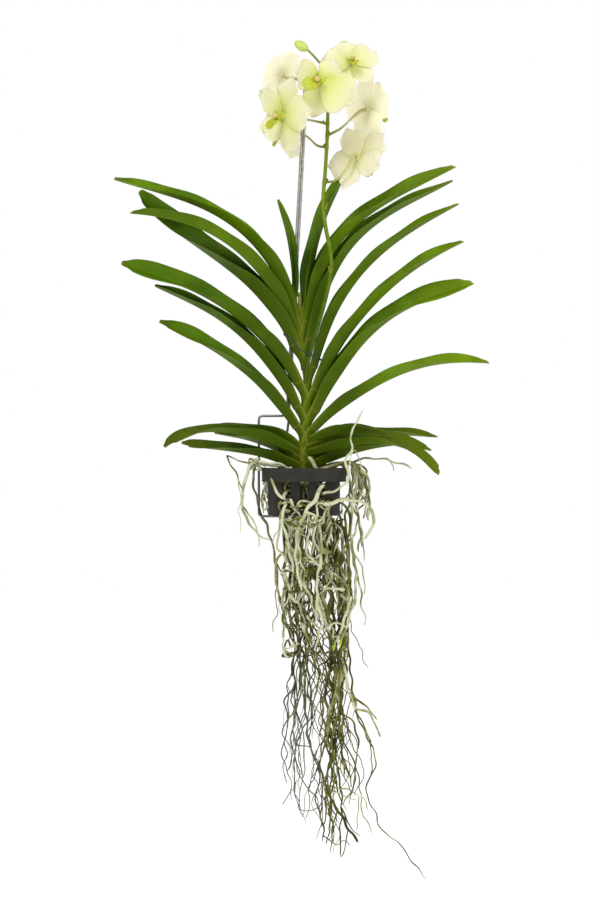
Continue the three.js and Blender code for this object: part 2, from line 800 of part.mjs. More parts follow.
// Roots that take a way of their own: over the rim, or out through a slot. Each row is its radii and its points.
const AERIAL_ROOTS = [
  // left, over the rim and past the hanger's loop
  {
    radii: [1.9, 1.3],
    points: [
      [-6, -8, -12], [-16, -22, -1], [-34, -30, 5], [-52, -30, 7], [-62, -29, 3], [-66.7, -28, -14],
      [-71, -27, -33], [-71, -26, -41], [-65.5, -25, -57.5], [-53, -24, -75], [-40, -24, -82],
    ],
  },
  {
    radii: [1.3, 0.8],
    points: [
      [-8, -6, -12], [-22, -15, 0], [-50, -24, 4.5], [-74, -23, 8], [-89, -23, 15], [-83, -23, 4],
      [-77, -24, -8], [-72, -25, -19], [-69.5, -26, -27],
    ],
  },
  {
    radii: [1.6, 1.1],
    points: [
      [-8, 8, -12], [-24, 24, 0], [-44, 32, 5], [-55, 31.5, 4], [-59, 29.5, -13], [-50, 26, -52],
      [-40, 24, -76], [-33, 20, -108], [-29, 15, -146], [-19, 8, -180], [-11, 2, -196],
    ],
  },
  // front, out of the left slot: one grows up to the rim and one hangs
  {
    radii: [1.9, 1.5],
    points: [
      [-4, -6, -18], [-20.6, -34, -27], [-23, -46, -35], [-30, -51.5, -27], [-38, -52, -12],
    ],
  },
  {
    radii: [2.1, 1.5],
    points: [
      [-2, -6, -20], [-19.5, -34, -38], [-21, -46, -40.5], [-25, -50, -54], [-18, -40, -86],
      [-12, -34, -118],
    ],
  },
  // front, out of the right slot and down to the left
  {
    radii: [2.3, 1.7],
    points: [
      [3, -6, -16], [20.6, -34, -19], [19, -47, -23], [10, -52, -38], [-4, -51, -60],
      [-8, -46, -78], [-9, -42, -106], [-3, -38, -138],
    ],
  },
  // front, out of the right slot and up past the rim
  {
    radii: [1.9, 1],
    points: [
      [5, -5, -17], [20.6, -34, -29], [25, -47.5, -28], [34, -52, -25], [47, -54, -18],
      [50, -54, -8], [47, -53, 6], [54, -51, 24], [53, -49, 36], [59, -46, 52], [66.5, -44, 65],
    ],
  },
  // front, out of the right slot and level to the right, then down
  {
    radii: [2.1, 1.6],
    points: [
      [5, -6, -20], [19.5, -34, -38], [23, -47, -41], [38, -51, -37], [56, -48, -36],
      [74, -40, -44], [79, -34, -56], [77, -30, -70], [68, -27, -80],
    ],
  },
  // right, over the rim
  {
    radii: [2.2, 1.6],
    points: [
      [6, 8, -12], [20, 24, -1], [36, 30, 4], [54, 29, 4], [66, 24, -8], [73, 20, -24],
      [75, 16, -38], [74, 14, -60],
    ],
  },
  {
    radii: [1.9, 1.4],
    points: [
      [6, -8, -12], [22, -22, -1], [42, -27, 5], [55, -26, 3.5], [59.5, -23, -15], [55, -20, -40],
      [54, -18, -82], [59, -16, -118], [58, -15, -150], [49, -15, -180], [40, -20, -205],
    ],
  },
  {
    radii: [1.8, 1.2],
    points: [
      [7, 0, -10], [22, 4, 1], [40, 7, 5], [54, 7, 4], [61, 6, -8], [64, 5, -26], [61, 4, -48],
      [66, 3, -72], [62, 2, -96],
    ],
  },
  {
    radii: [1.5, 1],
    points: [
      [6, 4, -10], [22, 14, 1], [40, 17, 5], [55, 16, 6], [70, 13, 11], [90, 10, 10], [108, 8, 6],
      [124, 6, 0],
    ],
  },
  {
    radii: [1.9, 1.3],
    points: [
      [4, 10, -12], [14, 27, -1], [30, 38, 4], [44, 51, 4], [52, 54, -10], [54, 52, -34],
      [48, 48, -62], [52, 42, -94], [46, 36, -124],
    ],
  },
  // behind, over the rim
  {
    radii: [2, 1.4],
    points: [
      [-3, 10, -12], [-8, 28, -1], [-13, 42, 4.5], [-17, 54.5, 5], [-20, 58.5, -12], [-18, 54, -40],
      [-22, 48, -72], [-18, 40, -108],
    ],
  },
  // the new root that leaves the stem's foot
  {
    radii: [2.1, 2.1],
    points: [
      [7, -8, -12], [15, -15, -2], [11, -14.5, 6], [5, -12, 12],
    ],
  },
  // the longest, from the right strand
  {
    radii: [1.5, 0.6],
    points: [
      [5, 2, -22], [20, 9, -44], [23, 10, -60], [38, 12, -110], [48, 10, -160], [52, 6, -215],
      [61, 4, -284], [75, 2, -314], [83, 0, -338], [77, 0, -354], [71, 0, -370], [82, 0, -397],
      [90, 0, -417], [108, -2, -430], [124, -2, -452], [140, -2, -471],
    ],
  },
];

// A strand's middle and half sizes at a height, eased from level to level.
function levelAt(levels, z) {
  let i = 0;
  while (i < levels.length - 2 && levels[i + 1][0] > z) i += 1;
  const share = smoothstep(levels[i][0] - z, 0, levels[i][0] - levels[i + 1][0]);
  return levels[i].map((value, k) => lerp(value, levels[i + 1][k], share));
}

// A root of a strand: out of the crown, straight down through a slot in the floor, and on down its own lane. In the
// left slot it stays in front of the hanger's leg.
function strandRoot({ count, sides, radii, ends, wander, levels }, i) {
  const lane = Math.sqrt((i + 0.5) / count);
  const turn = i * GOLDEN * 2 * Math.PI;
  const laneAt = (z) => {
    const [, x, y, width, depth] = levelAt(levels, z);
    const angle = turn + z * 0.004;
    return [x + lane * width * Math.cos(angle), y + lane * depth * Math.sin(angle), z];
  };
  const [startX, startY] = laneAt(-68);
  const slot = clamp(Math.round(startX / FLOOR_PITCH), -1, 1);
  const floorX = slot * FLOOR_PITCH + clamp(startX - slot * FLOOR_PITCH, -6, slot < 0 ? 0 : 6);
  const floorY = clamp(startY, -28, slot < 0 ? 4 : 28);
  const points = [
    [floorX * 0.35, floorY * 0.35, CROWN.middle - 2],
    [floorX * 0.85, floorY * 0.85, -38],
    [floorX, floorY, -50],
    [floorX, floorY, -57.5],
  ];
  const end = lerp(ends[0], ends[1], (i * GOLDEN) % 1);
  const drops = Math.round((-70 - end) / 27);
  for (let k = 0; k <= drops; k += 1) {
    const [x, y, z] = laneAt(lerp(-70, end, k / drops));
    const swing = wander * Math.min(1, k / 3);
    points.push([x + swing * Math.sin(z / 12 + turn * 3), y + swing * Math.cos(z / 15 + turn * 5), z]);
  }
  return tube(points.map(vector), (t) => lerp(radii[0], radii[1], t * t), round(sides));
}

function roots() {
  const crown = new THREE.IcosahedronGeometry(1, 1);
  crown.scale(CROWN.width, CROWN.width, CROWN.height);
  crown.translate(0, 0, CROWN.middle);
  const hanging = STRANDS.flatMap((strand) =>
    Array.from({ length: strand.count }, (_, i) => strandRoot(strand, i)),
  );
  const aerial = AERIAL_ROOTS.map(({ radii, points }) =>
    tube(smooth(points, points.length), (t) => lerp(radii[0], radii[1], t), round(5)),
  );
  return fuse([indexed(crown), ...hanging, ...aerial]);
}

add("roots", roots(), ROOT_SILVER);

plant.position.copy(HOOK_BEARING).negate();
const group = new THREE.Group();
group.add(plant);

export default group;
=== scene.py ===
import math

import bmesh
import bpy
import numpy as np
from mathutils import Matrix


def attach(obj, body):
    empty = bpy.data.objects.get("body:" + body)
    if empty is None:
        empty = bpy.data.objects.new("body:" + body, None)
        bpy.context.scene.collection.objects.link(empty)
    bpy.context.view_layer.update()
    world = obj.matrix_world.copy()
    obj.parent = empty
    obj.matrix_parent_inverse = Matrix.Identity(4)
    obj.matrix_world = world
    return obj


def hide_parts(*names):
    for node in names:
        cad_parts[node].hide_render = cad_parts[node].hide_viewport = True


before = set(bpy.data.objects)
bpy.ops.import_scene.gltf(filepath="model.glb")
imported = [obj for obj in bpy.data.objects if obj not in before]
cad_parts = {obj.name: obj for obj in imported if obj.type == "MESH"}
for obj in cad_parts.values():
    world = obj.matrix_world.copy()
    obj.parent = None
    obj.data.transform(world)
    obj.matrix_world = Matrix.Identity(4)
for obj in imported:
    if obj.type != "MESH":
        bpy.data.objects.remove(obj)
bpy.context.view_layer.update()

# ---------------------------------------------------------------- basket
# The net basket is one injection moulding of dark grey polypropylene: a flat rim band over four slotted walls and a
# slotted floor. Its edges leave the mould slightly rounded, and hard water leaves a dull film on it.
PLASTIC_DEEP = (0.014, 0.014, 0.01, 1)
PLASTIC_FILM = (0.036, 0.036, 0.024, 1)
MOULD_ROUNDING = 0.0005
SHARPEST_LEFT = math.radians(35)


class Field:
    """A value, colour or place that changes over a surface: one socket of a shader. Fields are added, subtracted and
    multiplied like numbers, so that a finish reads as a formula."""

    def __init__(self, socket):
        self.socket, self.tree = socket, socket.id_data

    def worked(self, operation, second=0.0):
        """The field that an operation makes of this one and a second field or number."""
        return Field(step(self.tree, "Math", {"operation": operation}, i0=self, i1=second).outputs[0])

    def __add__(self, other):
        return self.worked("ADD", other)

    def __sub__(self, other):
        return self.worked("SUBTRACT", other)

    def __mul__(self, other):
        return self.worked("MULTIPLY", other)

    def __abs__(self):
        return self.worked("ABSOLUTE")


def fill(sockets, **values):
    """Fills sockets by name, or by number as i0, i1 and so on: a field is linked, any other value is set."""
    for key, value in values.items():
        socket = sockets[int(key[1:]) if key[1:].isdigit() else key.replace("_", " ")]
        if isinstance(value, Field):
            value.tree.links.new(value.socket, socket)
        else:
            socket.default_value = value


def step(tree, kind, settings=(), **inputs):
    """Adds a shader node with its settings and inputs."""
    made = tree.nodes.new("ShaderNode" + kind)
    for key, value in dict(settings).items():
        setattr(made, key, value)
    fill(made.inputs, **inputs)
    return made


def mixed(share, first, second):
    """The first colour where the share is 0, the second where it is 1."""
    return Field(step(share.tree, "Mix", {"data_type": "RGBA"}, i0=share, i6=first, i7=second).outputs[2])


def eased(value, low, high, from_value=0.0, to_value=1.0):
    """A smooth step from one value to another as the input goes from low to high."""
    settings = {"interpolation_type": "SMOOTHSTEP"}
    ends = {"i1": low, "i2": high, "i3": from_value, "i4": to_value}
    return Field(step(value.tree, "MapRange", settings, i0=value, **ends).outputs[0])


def place(tree):
    """Where a point of the piece is, in metres."""
    return Field(step(tree, "TexCoord").outputs["Object"])


def cloudy(where, scale, detail=3.0):
    """Noise of that many lumps a metre."""
    return Field(step(where.tree, "TexNoise", Vector=where, Scale=scale, Detail=detail).outputs["Fac"])


def effect(name, takes, gives):
    """Starts a node group, an effect that several materials share, with its named inputs and outputs."""
    tree = bpy.data.node_groups.new(name, "ShaderNodeTree")
    for label, kind in takes.items():
        tree.interface.new_socket(label, in_out="INPUT", socket_type="NodeSocket" + kind)
    for label in gives:
        tree.interface.new_socket(label, in_out="OUTPUT", socket_type="NodeSocketFloat")
    taken = tree.nodes.new("NodeGroupInput").outputs
    return tree, [Field(taken[label]) for label in takes], tree.nodes.new("NodeGroupOutput").inputs


def patches():
    """Soft patches of a size and how sharply they part, with a grain twelve times finer than the patches."""
    takes = {"Where": "Vector", "Scale": "Float", "Softness": "Float"}
    tree, (where, scale, softness), given = effect("patches", takes, ["Patch", "Grain"])
    patch = eased(cloudy(where, scale, 4.0), softness * -1.0 + 0.5, softness + 0.5)
    fill(given, Patch=patch, Grain=cloudy(where, scale * 12.0, 2.0))
    return tree


PATCHES = patches()


def patchy(tree, scale, softness):
    """The patches and their grain, placed in a material."""
    made = step(tree, "Group", {"node_tree": PATCHES}, Where=place(tree), Scale=scale, Softness=softness)
    return Field(made.outputs["Patch"]), Field(made.outputs["Grain"])


def started(name):
    """Starts a material and the tree that its fields are drawn in."""
    material = bpy.data.materials.new(name)
    material.use_nodes = True
    return material, material.node_tree


def finished(material, **looks):
    """Gives a material its looks, on the shader's own sockets. What is the same all over the piece is a plain value."""
    fill(material.node_tree.nodes["Principled BSDF"].inputs, **looks)
    return material


def raised(height, strength, distance):
    """Fine relief: the height lifts the surface by up to the distance, in metres."""
    return Field(step(height.tree, "Bump", Height=height, Strength=strength, Distance=distance).outputs[0])


def basket_plastic():
    """Dark plastic under soft patches of film, with fine pale specks and a stippled surface."""
    material, tree = started("basket_plastic")
    film, grain = patchy(tree, 60.0, 0.16)
    speck = eased(cloudy(place(tree), 900.0), 0.6, 0.72)
    stipple = grain + cloudy(place(tree), 2600.0, 1.0)
    return finished(
        material,
        Specular_IOR_Level=0.25,
        Base_Color=mixed(film * 0.38 + speck * 0.22, PLASTIC_DEEP, PLASTIC_FILM),
        Roughness=eased(film, 0.0, 1.0, 0.42, 0.68),
        Normal=raised(stipple, 0.25, 0.0002),
    )


def stand(name, data):
    """Puts an object with this mesh, lamp or camera in the scene."""
    made = bpy.data.objects.new(name, data)
    bpy.context.scene.collection.objects.link(made)
    return made


def rounded_copy(node, name, rounding):
    """A copy of a moulded CAD node with its loose triangles merged, its flat faces made whole and its edges rounded."""
    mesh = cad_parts[node].data.copy()
    work = bmesh.new()
    work.from_mesh(mesh)
    bmesh.ops.remove_doubles(work, verts=work.verts, dist=1e-6)
    bmesh.ops.dissolve_limit(work, angle_limit=math.radians(1), verts=work.verts, edges=work.edges)
    work.to_mesh(mesh)
    work.free()
    mesh.shade_smooth()
    made = stand(name, mesh)
    bevel = made.modifiers.new("mould_rounding", "BEVEL")
    bevel.width = rounding
    bevel.segments = 2
    bevel.limit_method = "ANGLE"
    bevel.angle_limit = SHARPEST_LEFT
    bevel.harden_normals = True
    return made


basket = rounded_copy("basket", "basket_moulding", MOULD_ROUNDING)
basket.data.materials.clear()
basket.data.materials.append(basket_plastic())
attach(basket, "root")
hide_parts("basket")

# ---------------------------------------------------------------- hanger
# One galvanised spring-steel wire, bent double: a hook at the top, its two legs side by side as the shaft, and a
# loop that takes hold of the basket's left wall from over its rim to under its floor.
HOOK_BEARING = np.array([2.272, -1.0, 455.1])
WIRE = 2.9
SHAFT_DEPTH = 11.0
SHAFT_FOOT = (-18.4, 66.0)
SHAFT_LEAN = 0.0544
HOOK_TOP = 458.0
HOOK_RADIUS = 12.0
HOOK_REACH = 200
LEGS_APART = 0.93 * WIRE
# The bends of the outer leg, from under the basket round the loop to the shaft, and those of the inner leg, which
# crosses behind the loop's top and runs straight down its right side.
LOOP_OUTER_LEG = [[-17.2, 11, -55.75], [-52.1, 11, -55.75], [-52.1, 11, 60], [-21.2, 11, 60], [-19, 11, 68]]
LOOP_INNER_LEG = [[-20.2, 14.5, 34], [-20.2, 11, -45.75], [-20.2, 11, -56.15]]
LEG_CROSSING = [-0.8, 3, -16]
SHAFT_BEND, OUTER_BENDS, INNER_BENDS = 6, 5, 4
WIRE_STEP = 1.5
BEND_POINTS = 9
DOME = np.radians([70.0, 45.0, 22.0])
# The wire turns darker between these heights, in metres below where the hook bears, and stays darker below them.
DARKENS_FROM, DARK_BELOW = -0.35, -0.42
ZINC_BRIGHT = (0.6, 0.59, 0.55, 1)
ZINC_DULL = (0.34, 0.33, 0.3, 1)
ZINC_LOW_DARK = (0.18, 0.17, 0.14, 1)


def in_frame(points):
    """From millimetres measured at the stem's foot to metres measured where the hook bears."""
    return (np.asarray(points, float) - HOOK_BEARING) / 1000.0


def unit(vectors):
    """The vectors, each with a length of 1."""
    vectors = np.asarray(vectors, float)
    return vectors / np.maximum(np.linalg.norm(vectors, axis=-1, keepdims=True), 1e-12)


def run_along(line):
    """How far along a line each of its points lies."""
    return np.concatenate([[0.0], np.cumsum(np.linalg.norm(np.diff(line, axis=0), axis=1))])


def sampled(wanted, run, line):
    """The points, or directions, that a line has at the wanted distances along it."""
    return np.stack([np.interp(wanted, run, line[:, k]) for k in range(3)], axis=-1)


def resampled(line, spacing):
    """The same line with its points evenly spaced along it."""
    run = run_along(line)
    return sampled(np.linspace(0.0, run[-1], max(3, int(round(run[-1] / spacing)) + 1)), run, line)


def rounded_corners(points, radius):
    """A polyline whose corners are parabolas that start and end the radius away from each corner."""
    points = np.asarray(points, float)
    middle = points[1:-1, None]
    before = middle + unit(points[:-2, None] - middle) * radius
    after = middle + unit(points[2:, None] - middle) * radius
    share = np.linspace(0.0, 1.0, BEND_POINTS)[None, :, None]
    bends = before * (1 - share) ** 2 + middle * 2 * share * (1 - share) + after * share**2
    return np.concatenate([points[:1], bends.reshape(-1, 3), points[-1:]])


def grid_faces(rows, columns, closed):
    """Quads between neighbours of a grid stored row by row; closed joins its last column to its first."""
    row = np.arange(rows - 1)[:, None] * columns
    here = np.arange(columns if closed else columns - 1)[None, :]
    beside = (here + 1) % columns
    return np.stack([row + here, row + beside, row + columns + beside, row + columns + here], -1).reshape(-1, 4)


def square_to(line):
    """Two directions square to a line and to each other at each of its points, carried along without twisting."""
    ahead = unit(np.gradient(line, axis=0))
    side = np.empty_like(ahead)
    held = np.eye(3)[np.argmin(np.abs(ahead[0]))]
    for k, direction in enumerate(ahead):
        held = unit(held - direction * (held @ direction))
        side[k] = held
    return ahead, side, np.cross(ahead, side)


def tube(line, radii, sides=12, outline=None, **marks):
    """A closed tube: at each point of the line, a ring at line + radius (side cos a + other sin a), and a dome at
    each end. outline(a, t) may swell the ring with the angle and the share of the way; marks are values along it."""
    line = np.asarray(line, float)
    radii = np.broadcast_to(np.asarray(radii, float), (len(line),))
    ahead, side, other = square_to(line)
    cap = lambda k, sign, lift: line[k] + sign * ahead[k] * radii[k] * np.sin(lift)[:, None]
    centre = np.concatenate([cap(0, -1, DOME), line, cap(-1, 1, DOME[::-1])])
    size = np.concatenate([radii[0] * np.cos(DOME), radii, radii[-1] * np.cos(DOME[::-1])])
    spread = lambda values: np.concatenate(
        [np.repeat(values[:1], len(DOME), 0), values, np.repeat(values[-1:], len(DOME), 0)]
    )
    side, other = spread(side), spread(other)
    turn = np.broadcast_to(np.arange(sides) * 2 * math.pi / sides, (len(centre), sides))
    share = np.linspace(0.0, 1.0, len(centre))[:, None]
    reach = size[:, None] * (outline(turn, share) if outline else np.ones_like(turn))
    rings = centre[:, None] + reach[..., None] * (
        side[:, None] * np.cos(turn)[..., None] + other[:, None] * np.sin(turn)[..., None]
    )
    poles = [line[0] - ahead[0] * radii[0], line[-1] + ahead[-1] * radii[-1]]
    total = rings.shape[0] * sides
    first = np.arange(sides)
    beside = (first + 1) % sides
    fans = np.concatenate([
        np.stack([np.full(sides, total), beside, first], -1),
        np.stack([np.full(sides, total + 1), total - sides + first, total - sides + beside], -1),
    ])
    marked = {}
    for label, values in marks.items():
        values = spread(np.broadcast_to(np.asarray(values, float), (len(line),)))
        marked[label] = np.concatenate([np.repeat(values, sides), [values[0], values[-1]]])
    return {
        "at": np.concatenate([rings.reshape(-1, 3), poles]),
        "quads": grid_faces(len(centre), sides, True),
        "fans": fans,
        "marks": marked,
    }


def piece(name, surface, material, slot, *nodes):
    """Makes a surface one smooth object in the frame, with its marks as attributes and the CAD nodes that it stands
    for. The slot is not used."""
    mesh = bpy.data.meshes.new(name)
    mesh.from_pydata(in_frame(surface["at"]).tolist(), [], surface["quads"].tolist() + surface["fans"].tolist())
    mesh.shade_smooth()
    for label, values in surface["marks"].items():
        mesh.attributes.new(label, "FLOAT", "POINT").data.foreach_set("value", values.astype(np.float32))
    mesh.materials.append(material)
    made = stand(name, mesh)
    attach(made, "root")
    if nodes:
        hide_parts(*nodes)


def hanger_line():
    """The wire's whole way: up the outer leg and the shaft, round the hook, through a hairpin at its end and back."""
    lean = unit([SHAFT_LEAN, 0.0, 1.0])
    apart = np.array([LEGS_APART / 2, 0.0, 0.0])
    foot = np.array([SHAFT_FOOT[0], SHAFT_DEPTH, SHAFT_FOOT[1]])
    start = foot + lean * SHAFT_BEND
    top = foot + lean * (HOOK_TOP - HOOK_RADIUS - SHAFT_FOOT[1]) / lean[2]
    turn = np.radians(np.linspace(0, HOOK_REACH, 40))
    back = HOOK_RADIUS * (1 - np.cos(turn))
    arc = top + np.stack([0 * turn, -back, HOOK_RADIUS * np.sin(turn)], axis=1)
    tangent = unit(arc[-1] - arc[-2])
    hairpin = np.radians(np.linspace(15, 165, BEND_POINTS))[:, None]
    bend = arc[-1] - apart * np.cos(hairpin) + tangent * apart[0] * np.sin(hairpin)
    outer = rounded_corners([*LOOP_OUTER_LEG, start - apart], OUTER_BENDS)
    inner = rounded_corners([start + apart, start + apart + LEG_CROSSING, *LOOP_INNER_LEG], INNER_BENDS)
    whole = np.concatenate([outer, arc - apart, bend, arc[::-1] + apart, inner])
    return resampled(whole, WIRE_STEP)


def axes(tree):
    """The three coordinates of a point of the piece."""
    return [Field(socket) for socket in step(tree, "SeparateXYZ", Vector=place(tree)).outputs]


def streaks():
    """Upright streaks: noise with so many lumps a metre across and so many along."""
    takes = {"Where": "Vector", "Across": "Float", "Along": "Float"}
    tree, (where, across, along), given = effect("streaks", takes, ["Streak"])
    scale = Field(step(tree, "CombineXYZ", X=across, Y=across, Z=along).outputs[0])
    stretched = Field(step(tree, "Mapping", Vector=where, Scale=scale).outputs[0])
    fill(given, Streak=cloudy(stretched, 1.0, 2.0))
    return tree


STREAKS = streaks()


def streaky(tree, across, along):
    """The streaks, placed in a material."""
    made = step(tree, "Group", {"node_tree": STREAKS}, Where=place(tree), Across=across, Along=along)
    return Field(made.outputs["Streak"])


def hanger_steel():
    """Zinc with bright spangles and dull patches, darker towards the bottom, over fine drawing lines."""
    material, tree = started("hanger_steel")
    spangle, grain = patchy(tree, 220.0, 0.12)
    dull = grain * 0.5 + spangle * 0.6
    darker_low = eased(spangle * 0.02 + axes(tree)[2], DARKENS_FROM, DARK_BELOW)
    return finished(
        material,
        Metallic=1.0,
        Base_Color=mixed(darker_low, mixed(dull, ZINC_BRIGHT, ZINC_DULL), ZINC_LOW_DARK),
        Roughness=eased(dull, 0.1, 0.9, 0.38, 0.6),
        Normal=raised(streaky(tree, 3000.0, 60.0), 0.3, 0.0001),
    )


piece("hanger_wire", tube(hanger_line(), WIRE / 2, 14), hanger_steel(), "hanger_steel", "hanger")

# ---------------------------------------------------------------- stem
# One upright stem, pinched in between its joints. Old leaf bases have left brown rings on it, and what shows of it
# between the clasping leaves is yellow-green.
STEM_LINE = np.array([[0, 0, -4], [-0.5, 0, 20], [2, 0, 55], [3, 0, 100], [-2, 0, 147], [-5, 0, 200]], float)
STEM_FOOT, STEM_TOP = -3.6, 200.0
STEM_THICK, STEM_THIN = 4.4, 2.4
JOINT_PITCH = 11
STEM_YELLOW = (0.2, 0.22, 0.012, 1)
STEM_GREEN = (0.1, 0.14, 0.006, 1)
SCAR_BROWN = (0.09, 0.06, 0.02, 1)


def stem_at(height):
    """The middle of the stem at a height."""
    height = np.asarray(height, float)
    return np.stack([np.interp(height, STEM_LINE[:, 2], STEM_LINE[:, 0]), 0 * height, height], axis=-1)


def stem_radius(height):
    """The stem's radius falls from its foot to its top with the square of the height."""
    return STEM_THICK + (STEM_THIN - STEM_THICK) * (np.asarray(height, float) / STEM_TOP) ** 2


def mark(tree, name):
    """A mark that a surface carries, read back in its material."""
    return Field(step(tree, "Attribute", {"attribute_name": name}).outputs["Fac"])


def stem_tissue():
    """Yellow-green with upright green lines, and a brown ring at each joint."""
    material, tree = started("stem_tissue")
    patch, grain = patchy(tree, 90.0, 0.2)
    lines = streaky(tree, 900.0, 40.0)
    body = mixed(lines * 0.5 + patch * 0.5, STEM_YELLOW, STEM_GREEN)
    return finished(
        material,
        Roughness=0.5,
        Base_Color=mixed(mark(tree, "ring"), body, SCAR_BROWN),
        Normal=raised(lines + grain, 0.35, 0.0003),
    )


def stem():
    """A tube up the stem's line whose radius is pinched by a cosine between its joints."""
    height = np.linspace(STEM_FOOT, STEM_TOP, 260)
    joint = 0.5 + 0.5 * np.cos(2 * math.pi * height / JOINT_PITCH)
    return tube(stem_at(height), stem_radius(height) * (0.93 + 0.08 * joint**4), 20, ring=0.7 * joint**12)


piece("stem_core", stem(), stem_tissue(), "stem_tissue", "stem")

# ---------------------------------------------------------------- leaves
# Strap leaves in two ranks, folded along the middle. Each clasps the stem with its sheath, leaves it at a joint line
# and ends in a crooked, bitten tip. The young ones are mid green and waxy; the lowest are old, dark and dull.
LEAF_FRESH = (0.15, 0.28, 0.002, 1)
LEAF_MIDDLE = (0.072, 0.15, 0.001, 1)
LEAF_DEEP = (0.026, 0.064, 0.001, 1)
LEAF_UNDER = (0.09, 0.135, 0.002, 1)
# The lighter green painted on leaves to the right of the stem, as painted light.
LEAF_PAINTED_LIGHT = (0.24, 0.32, 0.004, 1)
LEAF_BASE = (0.22, 0.25, 0.01, 1)
LEAF_DRY = (0.24, 0.2, 0.05, 1)
OLD_FRESH = (0.19, 0.26, 0.007, 1)
OLD_DEEP = (0.068, 0.105, 0.004, 1)
SHEATH_LENGTH, SHEATH_THICK = 30.0, 0.9
BASE_FOLD = 26
EDGE_RIPPLE, LEAF_SWAY = 11, 38
LEAF_ROWS, SHEATH_ROWS, LEAF_COLUMNS = 84, 18, 21
# The side of the stem, the height of the base, the tip's reach, depth and height, the angles above level at the stem
# and at the tip, the width, how far it lies open and turns to the front, the fullness of its arch, its swing, its tone.
# The tone is partly the leaf's own green and partly painted shade and light: darker for leaves that lie in the shade of
# others, and lighter for those in light.
LEAVES = {
    "leaf_left_01": (-1, 172, (217, -14, 333), 79, 14, 33, 62, 22, 0.42, 0, 0.3),
    "leaf_left_02": (-1, 153, (198, -34, 291), 74, 1, 32, 60, -12, 0.41, 0, 0.5),
    "leaf_left_03": (-1, 142, (191, 30, 322), 73, 51, 42, 52, 46, 0.34, 0, 0.85),
    "leaf_left_04": (-1, 98, (209, -16, 235), 66, 14, 36, 60, 48, 0.34, 0, 0.65),
    "leaf_left_05": (-1, 70, (172, 14, 212), 67, 22, 32, 55, 15, 0.38, 0, 1.0),
    "leaf_left_06": (-1, 48, (166, -6, 169), 58, 19, 31, 60, 38, 0.34, 0, 0.65),
    "leaf_left_07": (-1, 18, (156, -84, 24), 32, -48, 26, 68, 20, 0.3, -20, 0.6),
    "leaf_left_08": (-1, 26, (107, -8, 46), 43, -8, 26, 66, 15, 0.34, 0, 0.2),
    "leaf_left_09": (-1, 3, (140, -16, 30), 24, 8, 26, 62, 30, 0.38, 0, 0.7),
    "leaf_left_10": (-1, 11, (106, 82, 41), 31, 4, 24, 66, 10, 0.36, 0, 0.8),
    "leaf_centre_01": (-1, 196, (29, 6, 310), 89, 66, 20, 40, 10, 0.4, 0, 0.2),
    "leaf_centre_02": (1, 184, (49, 14, 345), 89, 58, 30, 44, 20, 0.4, 0, 0.25),
    "leaf_right_01": (1, 168, (175, 10, 348), 82, 22, 34, 58, 30, 0.45, 0, 0.3),
    "leaf_right_02": (1, 148, (172, 40, 336), 81, 26, 33, 60, 10, 0.44, 0, 0.6),
    "leaf_right_03": (1, 116, (178, 4, 304), 76, 26, 28, 60, 15, 0.44, 0, 0.5),
    "leaf_right_04": (1, 90, (183, -8, 260), 69, 22, 32, 60, 22, 0.38, 0, 0.4),
    "leaf_right_05": (1, 66, (195, 6, 215), 66, 14, 36, 60, 46, 0.4, 0, 0.25),
    "leaf_right_06": (1, 46, (213, -4, 122), 48, -8, 30, 60, 24, 0.35, 0, 0.1),
    "leaf_right_07": (1, 25, (157, 58, 38), 16, -8, 26, 62, 20, 0.36, 12, 0.6),
    "leaf_right_08": (1, 33, (145, -48, 22), 26, -18, 26, 62, 15, 0.36, -14, 0.5),
    "leaf_right_09": (1, 18, (151, -102.5, -6), 16, -58, 24, 64, 15, 0.34, -34, 0.7),
    "leaf_right_10": (1, 9, (76, 66, 42), 26, 22, 22, 60, 10, 0.36, 22, 0.8),
    "leaf_right_11": (1, 3, (128, 10, 30), 24, 2, 26, 60, 20, 0.36, 0, 0.75),
}
# A leaf whose base is lower than the first height is old, and one whose base is higher than the second still grows.
OLD_BASE, GROWING_BASE = 40, 150


def ramp(value, low, high):
    """0 below low, 1 above high, and a smooth step 3t^2 - 2t^3 in between."""
    share = np.clip((np.asarray(value, float) - low) / (high - low), 0.0, 1.0)
    return share * share * (3.0 - 2.0 * share)


def shell(middle, thickness, **marks):
    """A closed blade from its middle surface: both faces lie half the thickness away along the surface's normal, the
    cross product of its two directions, and a narrow strip joins them round the edge."""
    rows, columns = middle.shape[:2]
    normal = unit(np.cross(np.gradient(middle, axis=1), np.gradient(middle, axis=0)))
    half = np.broadcast_to(thickness, (rows, columns))[..., None] / 2 * normal
    total = rows * columns
    index = np.arange(total).reshape(rows, columns)
    upper = grid_faces(rows, columns, False)
    rim = np.concatenate([index[0, :-1], index[:-1, -1], index[-1, :0:-1], index[:0:-1, 0]])
    beside = np.roll(rim, -1)
    strip = np.stack([rim, rim + total, beside + total, beside], -1)
    marked = {k: np.tile(np.broadcast_to(v, (rows, columns)).ravel(), 2) for k, v in marks.items()}
    marked["under"] = np.repeat([0.0, 1.0], total)
    return {
        "at": np.concatenate([(middle + half).reshape(-1, 3), (middle - half).reshape(-1, 3)]),
        "quads": np.concatenate([upper, upper[:, ::-1] + total, strip]),
        "fans": np.zeros((0, 3), int),
        "marks": marked,
    }


def arched(side, root, tip, rise, arrive, full, swing):
    """The leaf's middle line, a cubic arch that leaves the stem and arrives at the tip at the given angles."""
    end = np.array([side * tip[0], tip[1], tip[2]], float)
    handle = full * np.linalg.norm(end - root)
    slope = lambda angle: np.array([side * math.cos(math.radians(angle)), 0, math.sin(math.radians(angle))])
    first, second = root + slope(rise) * handle, end - slope(arrive) * handle
    first[1], second[1] = swing, tip[1] * 0.7
    t = np.linspace(0, 1, 400)[:, None]
    return root * (1 - t) ** 3 + first * 3 * t * (1 - t) ** 2 + second * 3 * t**2 * (1 - t) + end * t**3


